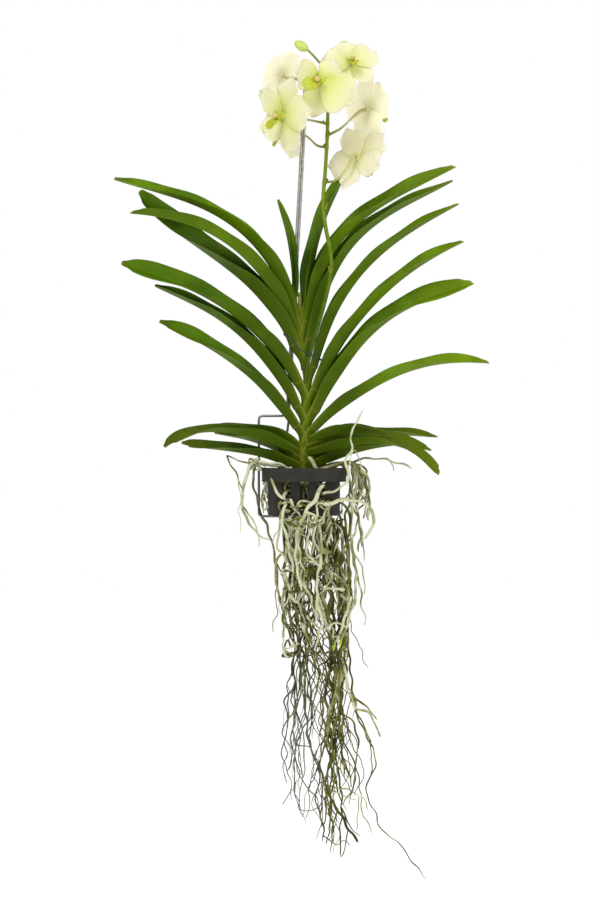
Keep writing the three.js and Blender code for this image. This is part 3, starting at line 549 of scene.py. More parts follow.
def leaf(side, base, tip, rise, arrive, width, opened, roll, full, swing, tone, draw):
    """A folded strap along the arch. Across it, u from -1 to 1, the fold rises as half (cos spread) (|u| - 0.5)
    along the leaf's normal and spreads as half (sin spread) u; below the joint it turns into an arc round the stem."""
    clasp = 0 if base < OLD_BASE else 0.5 if base > GROWING_BASE else 1
    root = stem_at(base) + np.array([side * (stem_radius(base) + 2.2 + 3.4 * clasp), 0, 0])
    arch = arched(side, root, tip, rise, arrive, full, swing)
    ahead = unit(np.gradient(arch, axis=0))
    run = run_along(arch)
    length = run[-1]

    u = np.linspace(-1, 1, LEAF_COLUMNS)[None, :]
    v = (1 - (1 - np.linspace(0, 1, LEAF_ROWS)) ** 1.15)[:, None]
    notch = 1.3 * np.exp(-(((u + 0.15) / 0.18) ** 2))
    bitten = 6 * np.abs(u) ** 2.5 - 2.2 * u + notch + draw.uniform(0, 0.25, LEAF_COLUMNS)
    share = np.clip(v - ramp(v, 0.93, 1.0) * bitten / length, 0, 1)
    at = sampled(share * length, run, arch)
    along = unit(sampled(share * length, run, ahead))
    half = width * (0.35 + 0.15 * ramp(v, 0, 0.24))
    half = half * (1 - 0.62 * np.clip((v - 0.74) / 0.26, 0, 1) ** 2.4) * (1 - 0.12 * ramp(v, 0.97, 1.0) * u**4)
    spread = np.radians(BASE_FOLD + (opened - BASE_FOLD) * ramp(v, 0.1, 1))
    rolled = np.radians(roll) * ramp(v, 0.1, 0.9)[..., None]
    up = unit(np.array([0, 0, 1.0]) - along * along[..., 2:])
    front = unit(np.array([0, -1.0, 0]) + along * along[..., 1:2])
    normal = unit(up * np.cos(rolled) + front * np.sin(rolled))
    across = np.cross(along, normal)
    ridge = np.sqrt(u**2 + 0.07**2) - 0.5
    phase = draw.uniform(0, 6.3, 3)
    ripple = np.sin(v * length / EDGE_RIPPLE + phase[0] + 2.2 * (u > 0))
    wave = 0.8 * np.abs(u) ** 3 * ramp(v, 0.05, 0.3) * ripple
    sway = 1.2 * np.sin(v * length / LEAF_SWAY + phase[1]) * ramp(v, 0.1, 0.4) - 1.3 * u**6 * ramp(v, 0.2, 0.6)
    lift = half * np.cos(spread) * ridge + wave + sway
    blade = at + normal * lift[..., None] + across * (half * np.sin(spread) * u)[..., None]

    depth = min(SHEATH_LENGTH, base - STEM_FOOT)
    below = np.linspace(1, 0, SHEATH_ROWS, endpoint=False)[:, None]
    height = base - depth * below
    wrap = np.radians(78 + 74 * ramp(below, 0.0, 0.85)) * u
    radius = stem_radius(height) + 0.7 + 3.0 * (1 - below) ** 1.5
    ring = stem_at(height[:, 0])[:, None] + np.stack(
        [side * radius * np.cos(wrap), -side * radius * np.sin(wrap), 0 * wrap], -1
    )
    lead = blade[:1] - along[:1] * (depth * below)[..., None]
    settled = 0.3 + 0.5 * math.sin(math.radians(rise))
    sheath = ring + (lead - ring) * (1 - ramp(below, 0.0, settled))[..., None]

    middle = np.concatenate([sheath, blade])
    share = np.concatenate([0 * below, v])
    reach = np.concatenate([-depth * below, v * length])
    thick = 0.45 + 1.05 * np.exp(-((u / 0.15) ** 2)) + 0.4 * (1 - u**2)
    thick = thick * (1.35 - 0.45 * ramp(share, 0, 0.25))
    thick = np.where(reach < 0, SHEATH_THICK, thick)
    return shell(middle, thick, across=u, along=share, reach=reach, tone=tone)


def fine_lines():
    """Lines along a piece: a cosine across it, raised to a power to narrow it, that wanders with the way along."""
    takes = {"Across": "Float", "Along": "Float", "Count": "Float", "Wander": "Float"}
    tree, (across, along, count, wander), given = effect("fine_lines", takes, ["Line"])
    at = Field(step(tree, "CombineXYZ", X=across * 4.0, Y=along).outputs[0])
    phase = across * count + cloudy(at, 1.0) * wander
    wave = (phase * (2 * math.pi)).worked("COSINE") * 0.5 + 0.5
    fill(given, Line=wave.worked("POWER", 3.0))
    return tree


FINE_LINES = fine_lines()


def lined(across, along, count, wander):
    """The fine lines, placed in a material."""
    values = {"Across": across, "Along": along, "Count": count, "Wander": wander}
    return Field(step(across.tree, "Group", {"node_tree": FINE_LINES}, **values).outputs["Line"])


def leaf_tissue(name, fresh, middle, deep, roughness):
    """Fresh to deep green by a shade of patches, the leaf's tone and the distance from the stem. It is darker near the
    stem, partly as painted shade over the bases' own darker green, and lighter to the right as painted light. It is
    lighter along the veins and the midrib, yellow at the sheath, and dry and brown at the joint, the sheath's margin
    and the tip."""
    material, tree = started(name)
    across, along, reach, tone, under = (mark(tree, k) for k in ("across", "along", "reach", "tone", "under"))
    patch, grain = patchy(tree, 26.0, 0.22)
    x, _, z = axes(tree)
    out = abs(across)
    veins = lined(across, reach * 0.03, 4.5, 0.3)
    # Darker within 130 mm of the stem: painted shade of the crowded middle, over the leaf bases' own darker green.
    shade = patch * 0.45 + tone * 0.75 - veins * 0.12 + eased(reach, 130.0, 20.0, 0.0, 0.85)
    body = mixed(eased(shade, 0.0, 0.6), fresh, middle)
    body = mixed(eased(shade, 0.55, 1.2), body, deep)
    # Painted light: leaves more than about 30 mm right of the stem are mixed up to 30 % toward a lighter green.
    body = mixed(eased(x, 0.03, 0.2, 0.0, 0.3), body, LEAF_PAINTED_LIGHT)
    body = mixed(under * 0.4, body, LEAF_UNDER)
    body = mixed(eased(out, 0.085, 0.0) * 0.4, body, fresh)
    low = eased(grain * 14.0 + reach, 44.0, -8.0) * eased(z, -0.24, -0.36, 0.3, 1.0)
    body = mixed(low * eased(out, 0.55, 1.0, 0.05, 0.6), body, LEAF_BASE)
    joint = eased(abs(reach), 1.1, 0.2) * 0.4
    margin = eased(out, 0.93, 1.0) * eased(reach, 2.0, -6.0) * 0.7
    tip = eased(grain * 0.01 + along, 0.996, 1.008)
    return finished(
        material,
        Specular_IOR_Level=0.08,
        Base_Color=mixed(joint.worked("MAXIMUM", margin).worked("MAXIMUM", tip), body, LEAF_DRY),
        Roughness=eased(under * 0.5 + patch, 0.0, 1.5, roughness, roughness + 0.16),
        Normal=raised(veins, 0.1, 0.0002),
    )


young_leaf = leaf_tissue("leaf_tissue", LEAF_FRESH, LEAF_MIDDLE, LEAF_DEEP, 0.42)
old_leaf = leaf_tissue("old_leaf_tissue", OLD_FRESH, OLD_DEEP, LEAF_DEEP, 0.5)
leaf_draw = np.random.default_rng(11)
for leaf_name, row in LEAVES.items():
    tissue, leaf_slot = (old_leaf, "old_leaf_tissue") if row[1] < OLD_BASE else (young_leaf, "leaf_tissue")
    piece(leaf_name + "_blade", leaf(*row, leaf_draw), tissue, leaf_slot, leaf_name)

# ---------------------------------------------------------------- flower spike
# One stalk from a leaf axil, olive and darker low down, with a papery bract at each joint. The pedicels leave it one
# by one, turn from green to cream and thicken into the twisted, ribbed seed case behind each bloom.
SPIKE_RADIUS = 2.3
PEDICEL_RADIUS = 1.25
HUB_RADIUS = 4.2
GAP = 0.3
STRETCH_POINTS = 12
SPIKE_LINE = [
    [1, -3, 97], [3, -7.4, 110], [5, -10, 124], [12, -14, 150], [24, -17, 192], [31, -18, 226], [30, -18, 248],
    [24, -15, 280], [22, -9, 308], [24, -2, 335], [26.5, 0, 377], [27.5, 0, 410], [28, 0, 436], [25, 0, 456],
    [19, -1, 466],
]
# The heights of the stalk's knots, and the places of its own two bracts with the side to which each opens.
SPIKE_KNOTS = (227, 300, 328, 369, 382, 396, 420, 438, 446)
SPIKE_JOINTS = [(31.2, -18, 227, -1), (23.2, -12, 300, 1)]
BUD_PEDICEL = [[20, -1, 463], [12.6, -2, 472], [4.6, -2, 480.1]]
# Where each bloom is, the way it faces, how far it is spun, its size, and the way that its pedicel goes.
BLOOMS = {
    "bloom_01": ((19.5, -38, 442), (-0.42, -0.9, -0.08), -56, 1.06, [[28, 0, 420], [29, -14, 430]]),
    "bloom_02": ((54, -22, 463), (0.06, -0.9, 0.42), 12, 0.8, [[28, 0, 438], [42, 8, 452], [52, -4, 462]]),
    "bloom_03": ((76, 26, 415), (0.84, 0.5, 0.1), 0, 1.04, [[26.5, 0, 382], [43, 0, 391], [56, 8, 404]]),
    "bloom_04": ((63, -4, 355), (0.58, 0.72, -0.38), -26, 0.98, [[23.6, -3, 328], [38, -20, 330], [50, -23, 345]]),
    "bloom_05": ((-24, -18, 403), (-0.78, -0.6, -0.1), -15, 1.02, [[26.5, 0, 396], [12, 0, 399], [-6, -4, 402]]),
    "bloom_06": ((-22, 47, 390), (-0.88, -0.36, -0.2), 0, 0.86, [[26.4, 0, 369], [16, 14, 372], [2, 36, 386]]),
    "bloom_07": ((-26, 40, 458), (-0.6, 0.6, 0.5), 0, 0.84, [[27.4, 0, 446], [15, 24, 448], [0, 34, 451]]),
}
SPIKE_OLIVE = (0.15, 0.23, 0.008, 1)
SPIKE_DARK = (0.045, 0.085, 0.002, 1)
PEDICEL_CREAM = (0.6, 0.56, 0.26, 1)
PEDICEL_BLUSH = (0.48, 0.36, 0.2, 1)


def smooth(points, spacing):
    """A centripetal spline through the points: on each stretch a cubic that leaves and arrives with the mean pace of
    its two neighbours, where pace is distance over the square root of the distance."""
    points = np.asarray(points, float)
    ends = np.concatenate([[2 * points[0] - points[1]], points, [2 * points[-1] - points[-2]]])
    pace = np.sqrt(np.maximum(np.linalg.norm(np.diff(ends, axis=0), axis=1), 1e-6))[:, None]
    drawn = np.diff(ends, axis=0) / pace
    slopes = drawn[:-1] - (ends[2:] - ends[:-2]) / (pace[:-1] + pace[1:]) + drawn[1:]
    share = np.linspace(0.0, 1.0, STRETCH_POINTS, endpoint=False)[None, :, None]
    start, stop = points[:-1, None], points[1:, None]
    leave, arrive = (slopes[:-1] * pace[1:-1])[:, None], (slopes[1:] * pace[1:-1])[:, None]
    cubic = (
        start * (2 * share**3 - 3 * share**2 + 1)
        + leave * (share**3 - 2 * share**2 + share)
        + stop * (3 * share**2 - 2 * share**3)
        + arrive * (share**3 - share**2)
    )
    return resampled(np.concatenate([cubic.reshape(-1, 3), points[-1:]]), spacing)


def joined(surfaces):
    """Several surfaces as one: their points, their faces, and the marks that all of them carry."""
    starts = np.cumsum([0] + [len(s["at"]) for s in surfaces[:-1]])
    shared = [label for label in surfaces[0]["marks"] if all(label in s["marks"] for s in surfaces)]
    return {
        "at": np.concatenate([s["at"] for s in surfaces]),
        "quads": np.concatenate([s["quads"] + start for s, start in zip(surfaces, starts)]),
        "fans": np.concatenate([s["fans"] + start for s, start in zip(surfaces, starts)]),
        "marks": {label: np.concatenate([s["marks"][label] for s in surfaces]) for label in shared},
    }


def bract(foot, away, long):
    """A papery half cone at a joint: it opens from the stalk over an arc of 150 degrees and ends in a point."""
    foot, away = np.asarray(foot, float), unit(away)
    up = unit(np.array([0, 0, 1.0]) - away * away[2])
    side = np.cross(up, away)
    u = np.linspace(-1, 1, 13)[None, :, None]
    v = np.linspace(0, 1, 12)[:, None, None]
    turn = np.radians(78) * u * (1 - v) ** 0.6
    radius = SPIKE_RADIUS + 0.4 + 1.6 * v
    middle = foot + radius * (away * np.cos(turn) + side * np.sin(turn)) + up * (long * v - 1.0)
    return shell(middle, 0.35, along=0.05 + 0 * v[..., 0], kind=0.55 + 0.4 * v[..., 0])


def spike():
    """Tubes along smooth lines. A pedicel starts 1.25 times as thick, and its last third swells into six ribs that
    turn once as they go."""
    line = smooth(SPIKE_LINE, 2.0)
    share = np.linspace(0, 1, len(line))
    knot = sum(np.exp(-(((line[:, 2] - z) / 3.2) ** 2)) for z in SPIKE_KNOTS)
    stalk = SPIKE_RADIUS * (1.08 - 0.36 * share**2) * (1 + 0.22 * knot)
    made = [tube(line, stalk, 18, along=0.0, kind=0.35 * knot)]
    ribs = lambda turn, t: 1 + 0.09 * ramp(t, 0.5, 0.7) * np.cos(6 * (turn + 4 * t))
    for at, face, _, size, way in BLOOMS.values():
        behind = -unit(face) * (HUB_RADIUS * 0.8 * size + GAP)
        end = np.asarray(at) + behind
        route = smooth([*way, end + behind * 1.6, end], 1.0)
        share = np.linspace(0, 1, len(route))
        swell = ramp(share, 0.55, 0.8) * (1 - 0.35 * ramp(share, 0.9, 1.0))
        radius = PEDICEL_RADIUS * (1.25 - 0.3 * ramp(share, 0, 0.4) + 0.55 * swell)
        made.append(tube(route, radius, 18, ribs, along=ramp(share, 0.05, 0.55), kind=0.25))
        made.append(bract(way[0], np.asarray(way[1], float) - way[0] + [0, 0, -6], 6.5))
    made.append(tube(smooth(BUD_PEDICEL, 1.0), PEDICEL_RADIUS, 12, along=0.15, kind=0.2))
    made += [bract((x, y, z - 3), (side, -0.4, 0), 9.0) for x, y, z, side in SPIKE_JOINTS]
    return joined(made)


def spike_tissue():
    """Olive, darker low down, with yellow knots and bracts; a pedicel turns to cream with patches of blush."""
    material, tree = started("spike_tissue")
    along, kind = mark(tree, "along"), mark(tree, "kind")
    patch, grain = patchy(tree, 110.0, 0.2)
    dark = eased(patch * 0.06 + axes(tree)[2], -0.09, -0.3)
    body = mixed(along, mixed(dark, SPIKE_OLIVE, SPIKE_DARK), PEDICEL_CREAM)
    body = mixed(along * patch * 0.55, body, PEDICEL_BLUSH)
    return finished(
        material,
        Roughness=0.45, Specular_IOR_Level=0.15,
        Base_Color=mixed(kind * 0.8, body, STEM_YELLOW),
        Normal=raised(streaky(tree, 1400.0, 120.0) + grain, 0.3, 0.0002),
    )


piece("spike_and_pedicels", spike(), spike_tissue(), "spike_tissue", "flower_spike")

# ---------------------------------------------------------------- blooms
# Each bloom has three sepals and two wider petals, cream with green in the throat and a breath of pink on the edges,
# all grown on one hub. The fleshy lip and the short column in the middle are lime green, capped with pink.
CLAW_START = 2.4
# The top sepal, the two petals and the two lower sepals: length, usual width, how far behind the petals it lies.
TEPALS = ((40, 34, 2.6), (41, 42, 0), (41, 42, 0), (40, 34, 2.6), (40, 34, 4.4))
# For each bloom's tepals, how far each is turned from the top, how far its end bends forward, and its shares of the
# usual width and length.
TEPAL_WAYS = {
    "bloom_01": (
        (-24, 72, -128, 144, -154), (-14, -2, -6, -4, -8), (0.75, 1.14, 0.8, 1, 0.7), (0.5, 1.02, 0.76, 1, 0.5)),
    "bloom_02": ((0, 72, -72, 144, -144), (-5, -6, -4, -6, -12), (1, 1, 1.05, 0.85, 0.8), (1, 1, 1, 0.95, 0.85)),
    "bloom_03": ((0, 72, -72, 144, -144), (-4, -7, -2, -5, -4), (1, 0.95, 1, 0.95, 1), (1, 1, 1, 1, 1)),
    "bloom_04": ((4, 72, -76, 150, -138), (-9, -2, -6, -9, -1), (0.95, 1, 0.95, 0.75, 1), (0.95, 1, 1, 1.05, 0.95)),
    "bloom_05": ((-8, 74, -62, 146, -130), (-12, -7, 3, -3, 7), (1.05, 0.95, 0.7, 1.12, 1), (1, 1, 1.05, 1.08, 0.9)),
    "bloom_06": ((0, 72, -72, 144, -144), (-4, -4, -6, -2, -6), (1, 1, 1, 1, 1), (1, 1, 1, 1, 1)),
    "bloom_07": ((0, 68, -72, 140, -144), (-6, -8, -3, -4, -7), (1, 0.9, 0.85, 1, 1), (0.9, 1, 1, 1, 1)),
}
# How much green each bloom still has: the newest open ones have most.
PETAL_FRESHNESS = (0.88, 0.7, 0.15, 0.3, 0.8, 0.2, 0.1)
# How strongly each bloom's petals glow: a painted glow, set bloom by bloom, that stands in for the light that comes
# through them.
PETAL_PAINTED_GLOW = (0.34, 0.42, 0.84, 0.26, 0.38, 0.6, 0.94)
NO_GLOW = (0, 0, 0, 1)
PETAL_PALE = (0.69, 0.66, 0.52, 1)
PETAL_CREAM = (0.62, 0.64, 0.27, 1)
PETAL_GREEN = (0.5, 0.57, 0.045, 1)
PETAL_BLUSH = (0.7, 0.58, 0.4, 1)
PETAL_VEIN = (0.7, 0.7, 0.26, 1)
PETAL_GLOW = (0.9, 0.87, 0.74, 1)
PETAL_GLOW_FRESH = (0.42, 0.42, 0.22, 1)
LIP_LIME = (0.4, 0.46, 0.01, 1)
LIP_PALE = (0.68, 0.68, 0.1, 1)
COLUMN_PINK = (0.74, 0.38, 0.28, 1)


def facing(points, at, face, spin):
    """Turns points drawn round a bloom's middle to the way it faces, its top sepal as near upright as that allows."""
    forward = unit(face)
    up = unit(np.array([0, 0, 1.0]) - forward * forward[2])
    spin = math.radians(spin)
    up = up * math.cos(spin) + np.cross(forward, up) * math.sin(spin)
    return np.asarray(at, float) + points @ np.array([np.cross(up, forward), up, forward])


def rounding_off(v, start, span):
    """1 up to the start, then a quarter of a circle down to 0 over the span."""
    return np.sqrt(np.clip(1 - np.clip((v - start) / span, 0, 1) ** 2, 0, 1))


def tepal(length, width, behind, turn, bend, widen, lengthen, wave, draw):
    """Narrow at its claw, widest past its middle, rounded at its end: half the width is a sine of the way out,
    rounded off by a circle over the last quarter. It is hollowed across, bent back and waved at its edges."""
    u = np.linspace(-1, 1, 25)[None, :]
    v = np.sin(np.linspace(0, math.pi / 2, 34))[:, None] ** 0.85
    outer = length * lengthen * (1 + 0.02 * draw.uniform(-1, 1))
    frill = 0.045 * np.cos(5 * u + wave) + 0.008 * np.cos(11 * u - wave)
    out = CLAW_START + outer * v * (1 - 0.07 * u**2 * v**3 - frill * v**5)
    half = widen * width / 2 * (0.1 + 0.9 * np.sin(math.pi * (0.03 + 0.81 * v)) ** 0.9) * rounding_off(v, 0.74, 0.262)
    x = u * half * (1 + 0.055 * v**2 * np.sin(9 * v + wave + 2 * np.sign(u)))
    lift = 0.06 * length * u**2 * v + bend * v**2 + 1.3 * v * u * np.sin(wave + 5 * v)
    lift = lift + 2.8 * v**2 * np.abs(u) ** 3 * np.sin(2 * wave + 13 * v + 2.5 * u)
    lift = lift - 0.5 * np.exp(-((u / 0.12) ** 2)) * v * (1 - v) - behind * ramp(v, -0.25, 0.3)
    angle = math.radians(turn)
    sideways = x * math.cos(angle) + out * math.sin(angle)
    upward = out * math.cos(angle) - x * math.sin(angle)
    thick = 0.95 - 0.45 * np.abs(u) ** 2 + 0.5 * np.exp(-v / 0.12)
    return shell(np.stack([sideways, upward, lift], -1), thick, across=u, along=v)


def upright(height):
    """A straight upright line with points at the given heights."""
    return np.stack([0 * height, 0 * height, height], axis=1)


def hub(radius):
    """A flattened ball: a tube of rings whose radii follow a circle."""
    lift = np.linspace(-0.7, 0.7, 9)
    made = tube(upright(lift * radius), radius * np.sqrt(1 - lift**2), 20, along=0.0, across=0.0, under=0.0)
    made["at"][:, 2] *= 0.8
    return made


def tepals(ways, number, draw):
    """The hub and the five tepals of one bloom, each with a wave of its own."""
    rows = enumerate(zip(TEPALS, zip(*ways)))
    return joined([hub(HUB_RADIUS)] + [tepal(*row, *way, number * 1.7 + k * 2.1, draw) for k, (row, way) in rows])


def lip():
    """A grooved, keeled tongue hangs forward under the column. Two upright lobes stand beside it, a short blunt spur
    points back, and the column ends in a rounded cap."""
    u = np.linspace(-1, 1, 15)[None, :]
    v = np.linspace(0, 1, 22)[:, None]
    half = (2.6 + 5 * np.sin(math.pi * (0.12 + 0.7 * v))) * rounding_off(v, 0.8, 0.21)
    keel = 0.9 * np.exp(-((np.abs(u) - 0.28) ** 2) / 0.012) * np.sin(math.pi * v)
    lift = 4.6 + 18 * v - 4 * v * v + 3 * u * u * (1 - 0.4 * v) + keel
    tongue = np.stack([u * half, -3.2 - 4 * v - 7 * v * v + 0 * u, lift], -1)
    made = [shell(tongue, 1.5 - 0.8 * np.abs(u) ** 2 + 0 * v, along=v, kind=0.0)]
    u, v = np.linspace(-1, 1, 9)[None, :], np.linspace(0, 1, 10)[:, None]
    wide = 3 * (1 - 0.3 * v) * rounding_off(v, 0.6, 0.42)
    for sign in (1, -1):
        lobe = np.stack([sign * (2.6 + 3.4 * v + 0.5 * u**2), -3 + 8 * v + 0 * u, 6.8 + u * wide], -1)
        made.append(shell(lobe[:, ::sign], 1.1, along=0.3 + 0.4 * v, kind=0.0))
    t = np.linspace(0, 1, 12)
    column = np.stack([0 * t, -1 + 1.6 * t, 4 + 8 * t], axis=1)
    cap = 0.5 * np.exp(-(((t - 0.9) / 0.12) ** 2))
    made.append(tube(column, 3.2 - 0.5 * t + cap, 16, along=0.2, kind=ramp(t, 0.55, 0.95)))
    spur = np.stack([0 * t, -3 - 1.5 * t - 3.5 * t**2, 5.5 - 4.5 * t], axis=1)
    made.append(tube(spur, 1.9 - 0.7 * t, 12, along=0.6, kind=0.0))
    return joined(made)


def petal_tissue():
    """Cream, greener the fresher the bloom, lime in the throat, with fanned veins and a blush on edges and backs.
    A faint painted glow, an emission that stands in for the light that comes through a petal, is weakest near its thick
    claw."""
    material, tree = started("petal_tissue")
    across, along, fresh, under = (mark(tree, k) for k in ("across", "along", "fresh", "under"))
    patch, grain = patchy(tree, 55.0, 0.25)
    outer = patch * 0.14 + along
    young = fresh * eased(outer, 1.05, 0.45, 0.15, 1.0)
    throat = eased(outer, 0.62, 0.04) * eased(fresh, 0.0, 1.0, 0.35, 0.9)
    body = mixed(throat, mixed(young, PETAL_PALE, PETAL_CREAM), PETAL_GREEN)
    veins = lined(across * eased(along, 0.0, 1.0, 0.6, 1.0), along * 4.0, 8.0, 0.7)
    body = mixed(veins * 0.3, body, PETAL_VEIN)
    edge = eased(abs(across), 0.6, 1.05) * patch
    blush = edge.worked("MAXIMUM", under * (patch * 0.45 + 0.1))
    # Painted glow: each bloom's petals emit their share of the glow colour, as painted light in place of light through
    # them.
    light = mark(tree, "light") * eased(outer, 0.05, 0.5, 0.45, 1.0)
    return finished(
        material,
        Specular_IOR_Level=0.2, Subsurface_Weight=0.3, Subsurface_Scale=0.005, Subsurface_Radius=(1.0, 0.9, 0.4),
        Sheen_Weight=0.15, Sheen_Roughness=0.4, Emission_Strength=0.45,
        Base_Color=mixed(blush * 0.5, body, PETAL_BLUSH),
        Roughness=eased(grain, 0.3, 0.7, 0.48, 0.62),
        Normal=raised(veins * 0.8 + grain, 0.25, 0.0003),
        Emission_Color=mixed(light, NO_GLOW, mixed(fresh, PETAL_GLOW, PETAL_GLOW_FRESH)),
    )


def lip_tissue():
    """Lime, paler in patches and near the throat; the column's cap is pink."""
    material, tree = started("lip_tissue")
    along, kind = mark(tree, "along"), mark(tree, "kind")
    patch, grain = patchy(tree, 300.0, 0.2)
    body = mixed(patch * 0.25 + eased(along, 0.55, 0.0, 0.0, 0.5), LIP_LIME, LIP_PALE)
    return finished(
        material,
        Roughness=0.36, Subsurface_Weight=0.15, Subsurface_Scale=0.002,
        Base_Color=mixed(kind * 0.5, body, COLUMN_PINK),
        Normal=raised(grain, 0.25, 0.0002),
    )


petal_finish = petal_tissue()
lip_finish = lip_tissue()
bloom_draw = np.random.default_rng(5)
for number, (bloom_name, (at, face, spin, size, _)) in enumerate(BLOOMS.items()):
    petals = tepals(TEPAL_WAYS[bloom_name], number, bloom_draw)
    for label, amounts in {"fresh": PETAL_FRESHNESS, "light": PETAL_PAINTED_GLOW}.items():
        petals["marks"][label] = np.full(len(petals["at"]), amounts[number])
    for part, surface, tissue, bloom_slot in (
        ("tepals", petals, petal_finish, "petal_tissue"),
        ("lip", lip(), lip_finish, "lip_tissue"),
    ):
        surface["at"] = facing(surface["at"] * size, at, face, spin)
        piece(f"{bloom_name}_{part}_grown", surface, tissue, bloom_slot, f"{bloom_name}_{part}")

# ---------------------------------------------------------------- bud
# The closed bud at the spike's tip: five sepals and petals folded over each other, lime with a pale cheek.
BUD_AT = (-3.2, -2, 485)
BUD_RADIUS, BUD_LONG = 5.6, 8.6
BUD_LEAN = -58
BUD_LIME = (0.42, 0.54, 0.03, 1)
BUD_PALE = (0.76, 0.78, 0.3, 1)


def bud():
    """An egg from a circle of radii, with a crease where each of five folded sepals meets the next."""
    lift = np.sin(np.linspace(-1.35, 1.35, 26))
    fold = lambda turn, t: np.mod(turn * 5 / (2 * math.pi) + 0.7 * t, 1) - 0.5
    crease = lambda turn, t: 1 - 0.09 * np.exp(-(fold(turn, t) ** 2) / 0.006)
    radius = BUD_RADIUS * np.sqrt(1 - lift**2) * (1 - 0.1 * lift)
    made = tube(upright(lift * BUD_LONG), radius, 40, crease, along=lift)
    lean = math.radians(BUD_LEAN)
    x, z = made["at"][:, 0].copy(), made["at"][:, 2].copy()
    made["at"][:, 0] = x * math.cos(lean) + z * math.sin(lean)
    made["at"][:, 2] = z * math.cos(lean) - x * math.sin(lean)
    made["at"] += BUD_AT
    return made


def bud_tissue():
    """Lime, with pale patches that grow towards the pedicel."""
    material, tree = started("bud_tissue")
    patch, grain = patchy(tree, 120.0, 0.2)
    pale = patch * 0.4 + eased(mark(tree, "along"), 1.0, -1.0, 0.0, 0.3)
    return finished(
        material,
        Roughness=0.42, Subsurface_Weight=0.15, Subsurface_Scale=0.002,
        Base_Color=mixed(pale, BUD_LIME, BUD_PALE),
        Normal=raised(grain, 0.25, 0.0003),
    )


piece("bud_closed", bud(), bud_tissue(), "bud_tissue", "bud")

# ---------------------------------------------------------------- tie
# Two strands of dark green plastic-coated wire, twisted together round the stem, the spike and the hanger's shaft,
# with their ends twisted off in front.
TIE_STRAND = 0.5
TIE_LOOP = [
    [-15, -12.5, 149], [-7, -14, 138], [-2, -15, 134.5], [4, -15.5, 131.5], [11.5, -14.5, 126.5], [19.4, -6, 124],
    [17.6, 8, 126], [4, 15, 133], [-8, 16.5, 143], [-20, 15, 151], [-23, 4, 154], [-21.4, -7, 153], [-15, -12.5, 149],
]
TIE_ENDS = [[11, -14.6, 127], [13.5, -15.5, 130], [15, -16.2, 135]]
TIE_GREEN = (0.008, 0.03, 0.014, 1)
TIE_WORN = (0.03, 0.07, 0.035, 1)


def twisted(line, pitch):
    """Two strands that wind round a line, one turn in each pitch, always on opposite sides of it."""
    _, side, other = square_to(line)
    turns = [start + run_along(line)[:, None] * 2 * math.pi / pitch for start in (0.0, math.pi)]
    strands = [line + TIE_STRAND * (side * np.cos(turn) + other * np.sin(turn)) for turn in turns]
    return [tube(strand, TIE_STRAND, 8) for strand in strands]


def tie_plastic():
    """Dark green plastic, worn lighter in patches."""
    material, tree = started("tie_plastic")
    patch, grain = patchy(tree, 400.0, 0.15)
    return finished(
        material,
        Roughness=0.4,
        Base_Color=mixed(patch * 0.6, TIE_GREEN, TIE_WORN),
        Normal=raised(grain, 0.2, 0.0001),
    )


tie_strands = twisted(smooth(TIE_LOOP, 0.6), 5.0) + twisted(smooth(TIE_ENDS, 0.6), 4.0)
piece("tie_twisted", joined(tie_strands), tie_plastic(), "tie_wire", "stem_tie")

# ---------------------------------------------------------------- roots
# All roots grow from one crown in the basket. The thick ones are wrapped in velamen, a silvery spongy skin that
# turns olive where it is wet; far down they are old, dark and wiry, kinked and forked. Growing tips are lime.
CROWN = {"width": 16.0, "height": 11.5, "middle": -17.0}
GOLDEN = 0.618034
ROOT_STEP = 2.2
# The slots in the floor: how far apart they are, and how far from the middle of one a root may pass through it, along
# and across. In those beside the wire a root passes only in front.
FLOOR_PITCH, SLOT_PLAY, FLOOR_PLAY, WIRE_PLAY = 24.0, 6, 28, 4
# The lanes of the roots in a strand start under the floor and turn slowly as they go down.
UNDER_FLOOR, LANES_START, LANE_DROP, LANE_TURN = -68, -70, 27, 0.004
FORK_KINK, THICKET_KINK = 9, 8
# How many steps a root has to be long to fork at all, and to fork three times, and the depth that no fork passes.
FORKING, FORKING_OFTEN, LOWEST_FORK = 40, 120, -450
ROOT_SILVER = (0.58, 0.59, 0.39, 1)
ROOT_BEIGE = (0.3, 0.29, 0.12, 1)
ROOT_OLIVE = (0.115, 0.12, 0.014, 1)
ROOT_DARK = (0.038, 0.036, 0.014, 1)
ROOT_DRIED = (0.18, 0.17, 0.145, 1)
ROOT_TIP = (0.4, 0.5, 0.03, 1)
# A strand's count of roots, their radii, the heights between which they end, how far they wander, its tone, and the
# levels that it passes: a height, the x and y of its middle there, and half its width and depth.
STRANDS = (
    (9, (1.5, 0.5), (-300, -415), 3.0, 0.75, [
        [-68, -8, -4, 26, 22], [-110, -8, 0, 24, 24], [-165, -11, 0, 17, 16], [-200, -2, 0, 14, 13],
        [-240, -2, 0, 17, 14], [-325, -5, 0, 21, 16], [-370, 2, 0, 22, 18], [-420, 12, 0, 24, 18]]),
    (9, (2.0, 0.8), (-330, -447), 2.6, 0.62, [
        [-68, 28, 4, 22, 24], [-110, 36, 0, 22, 24], [-165, 40, 0, 15, 16], [-200, 38, 0, 12, 12],
        [-280, 36, 0, 12, 12], [-325, 34, 0, 15, 14], [-370, 38, 0, 22, 18], [-450, 42, 0, 24, 18]]),
    (6, (2.3, 1.4), (-130, -215), 5.0, 0.1, [
        [-68, 8, -10, 36, 26], [-110, 12, -12, 36, 28], [-160, 16, -8, 34, 28], [-230, 22, 0, 26, 22]]),
)
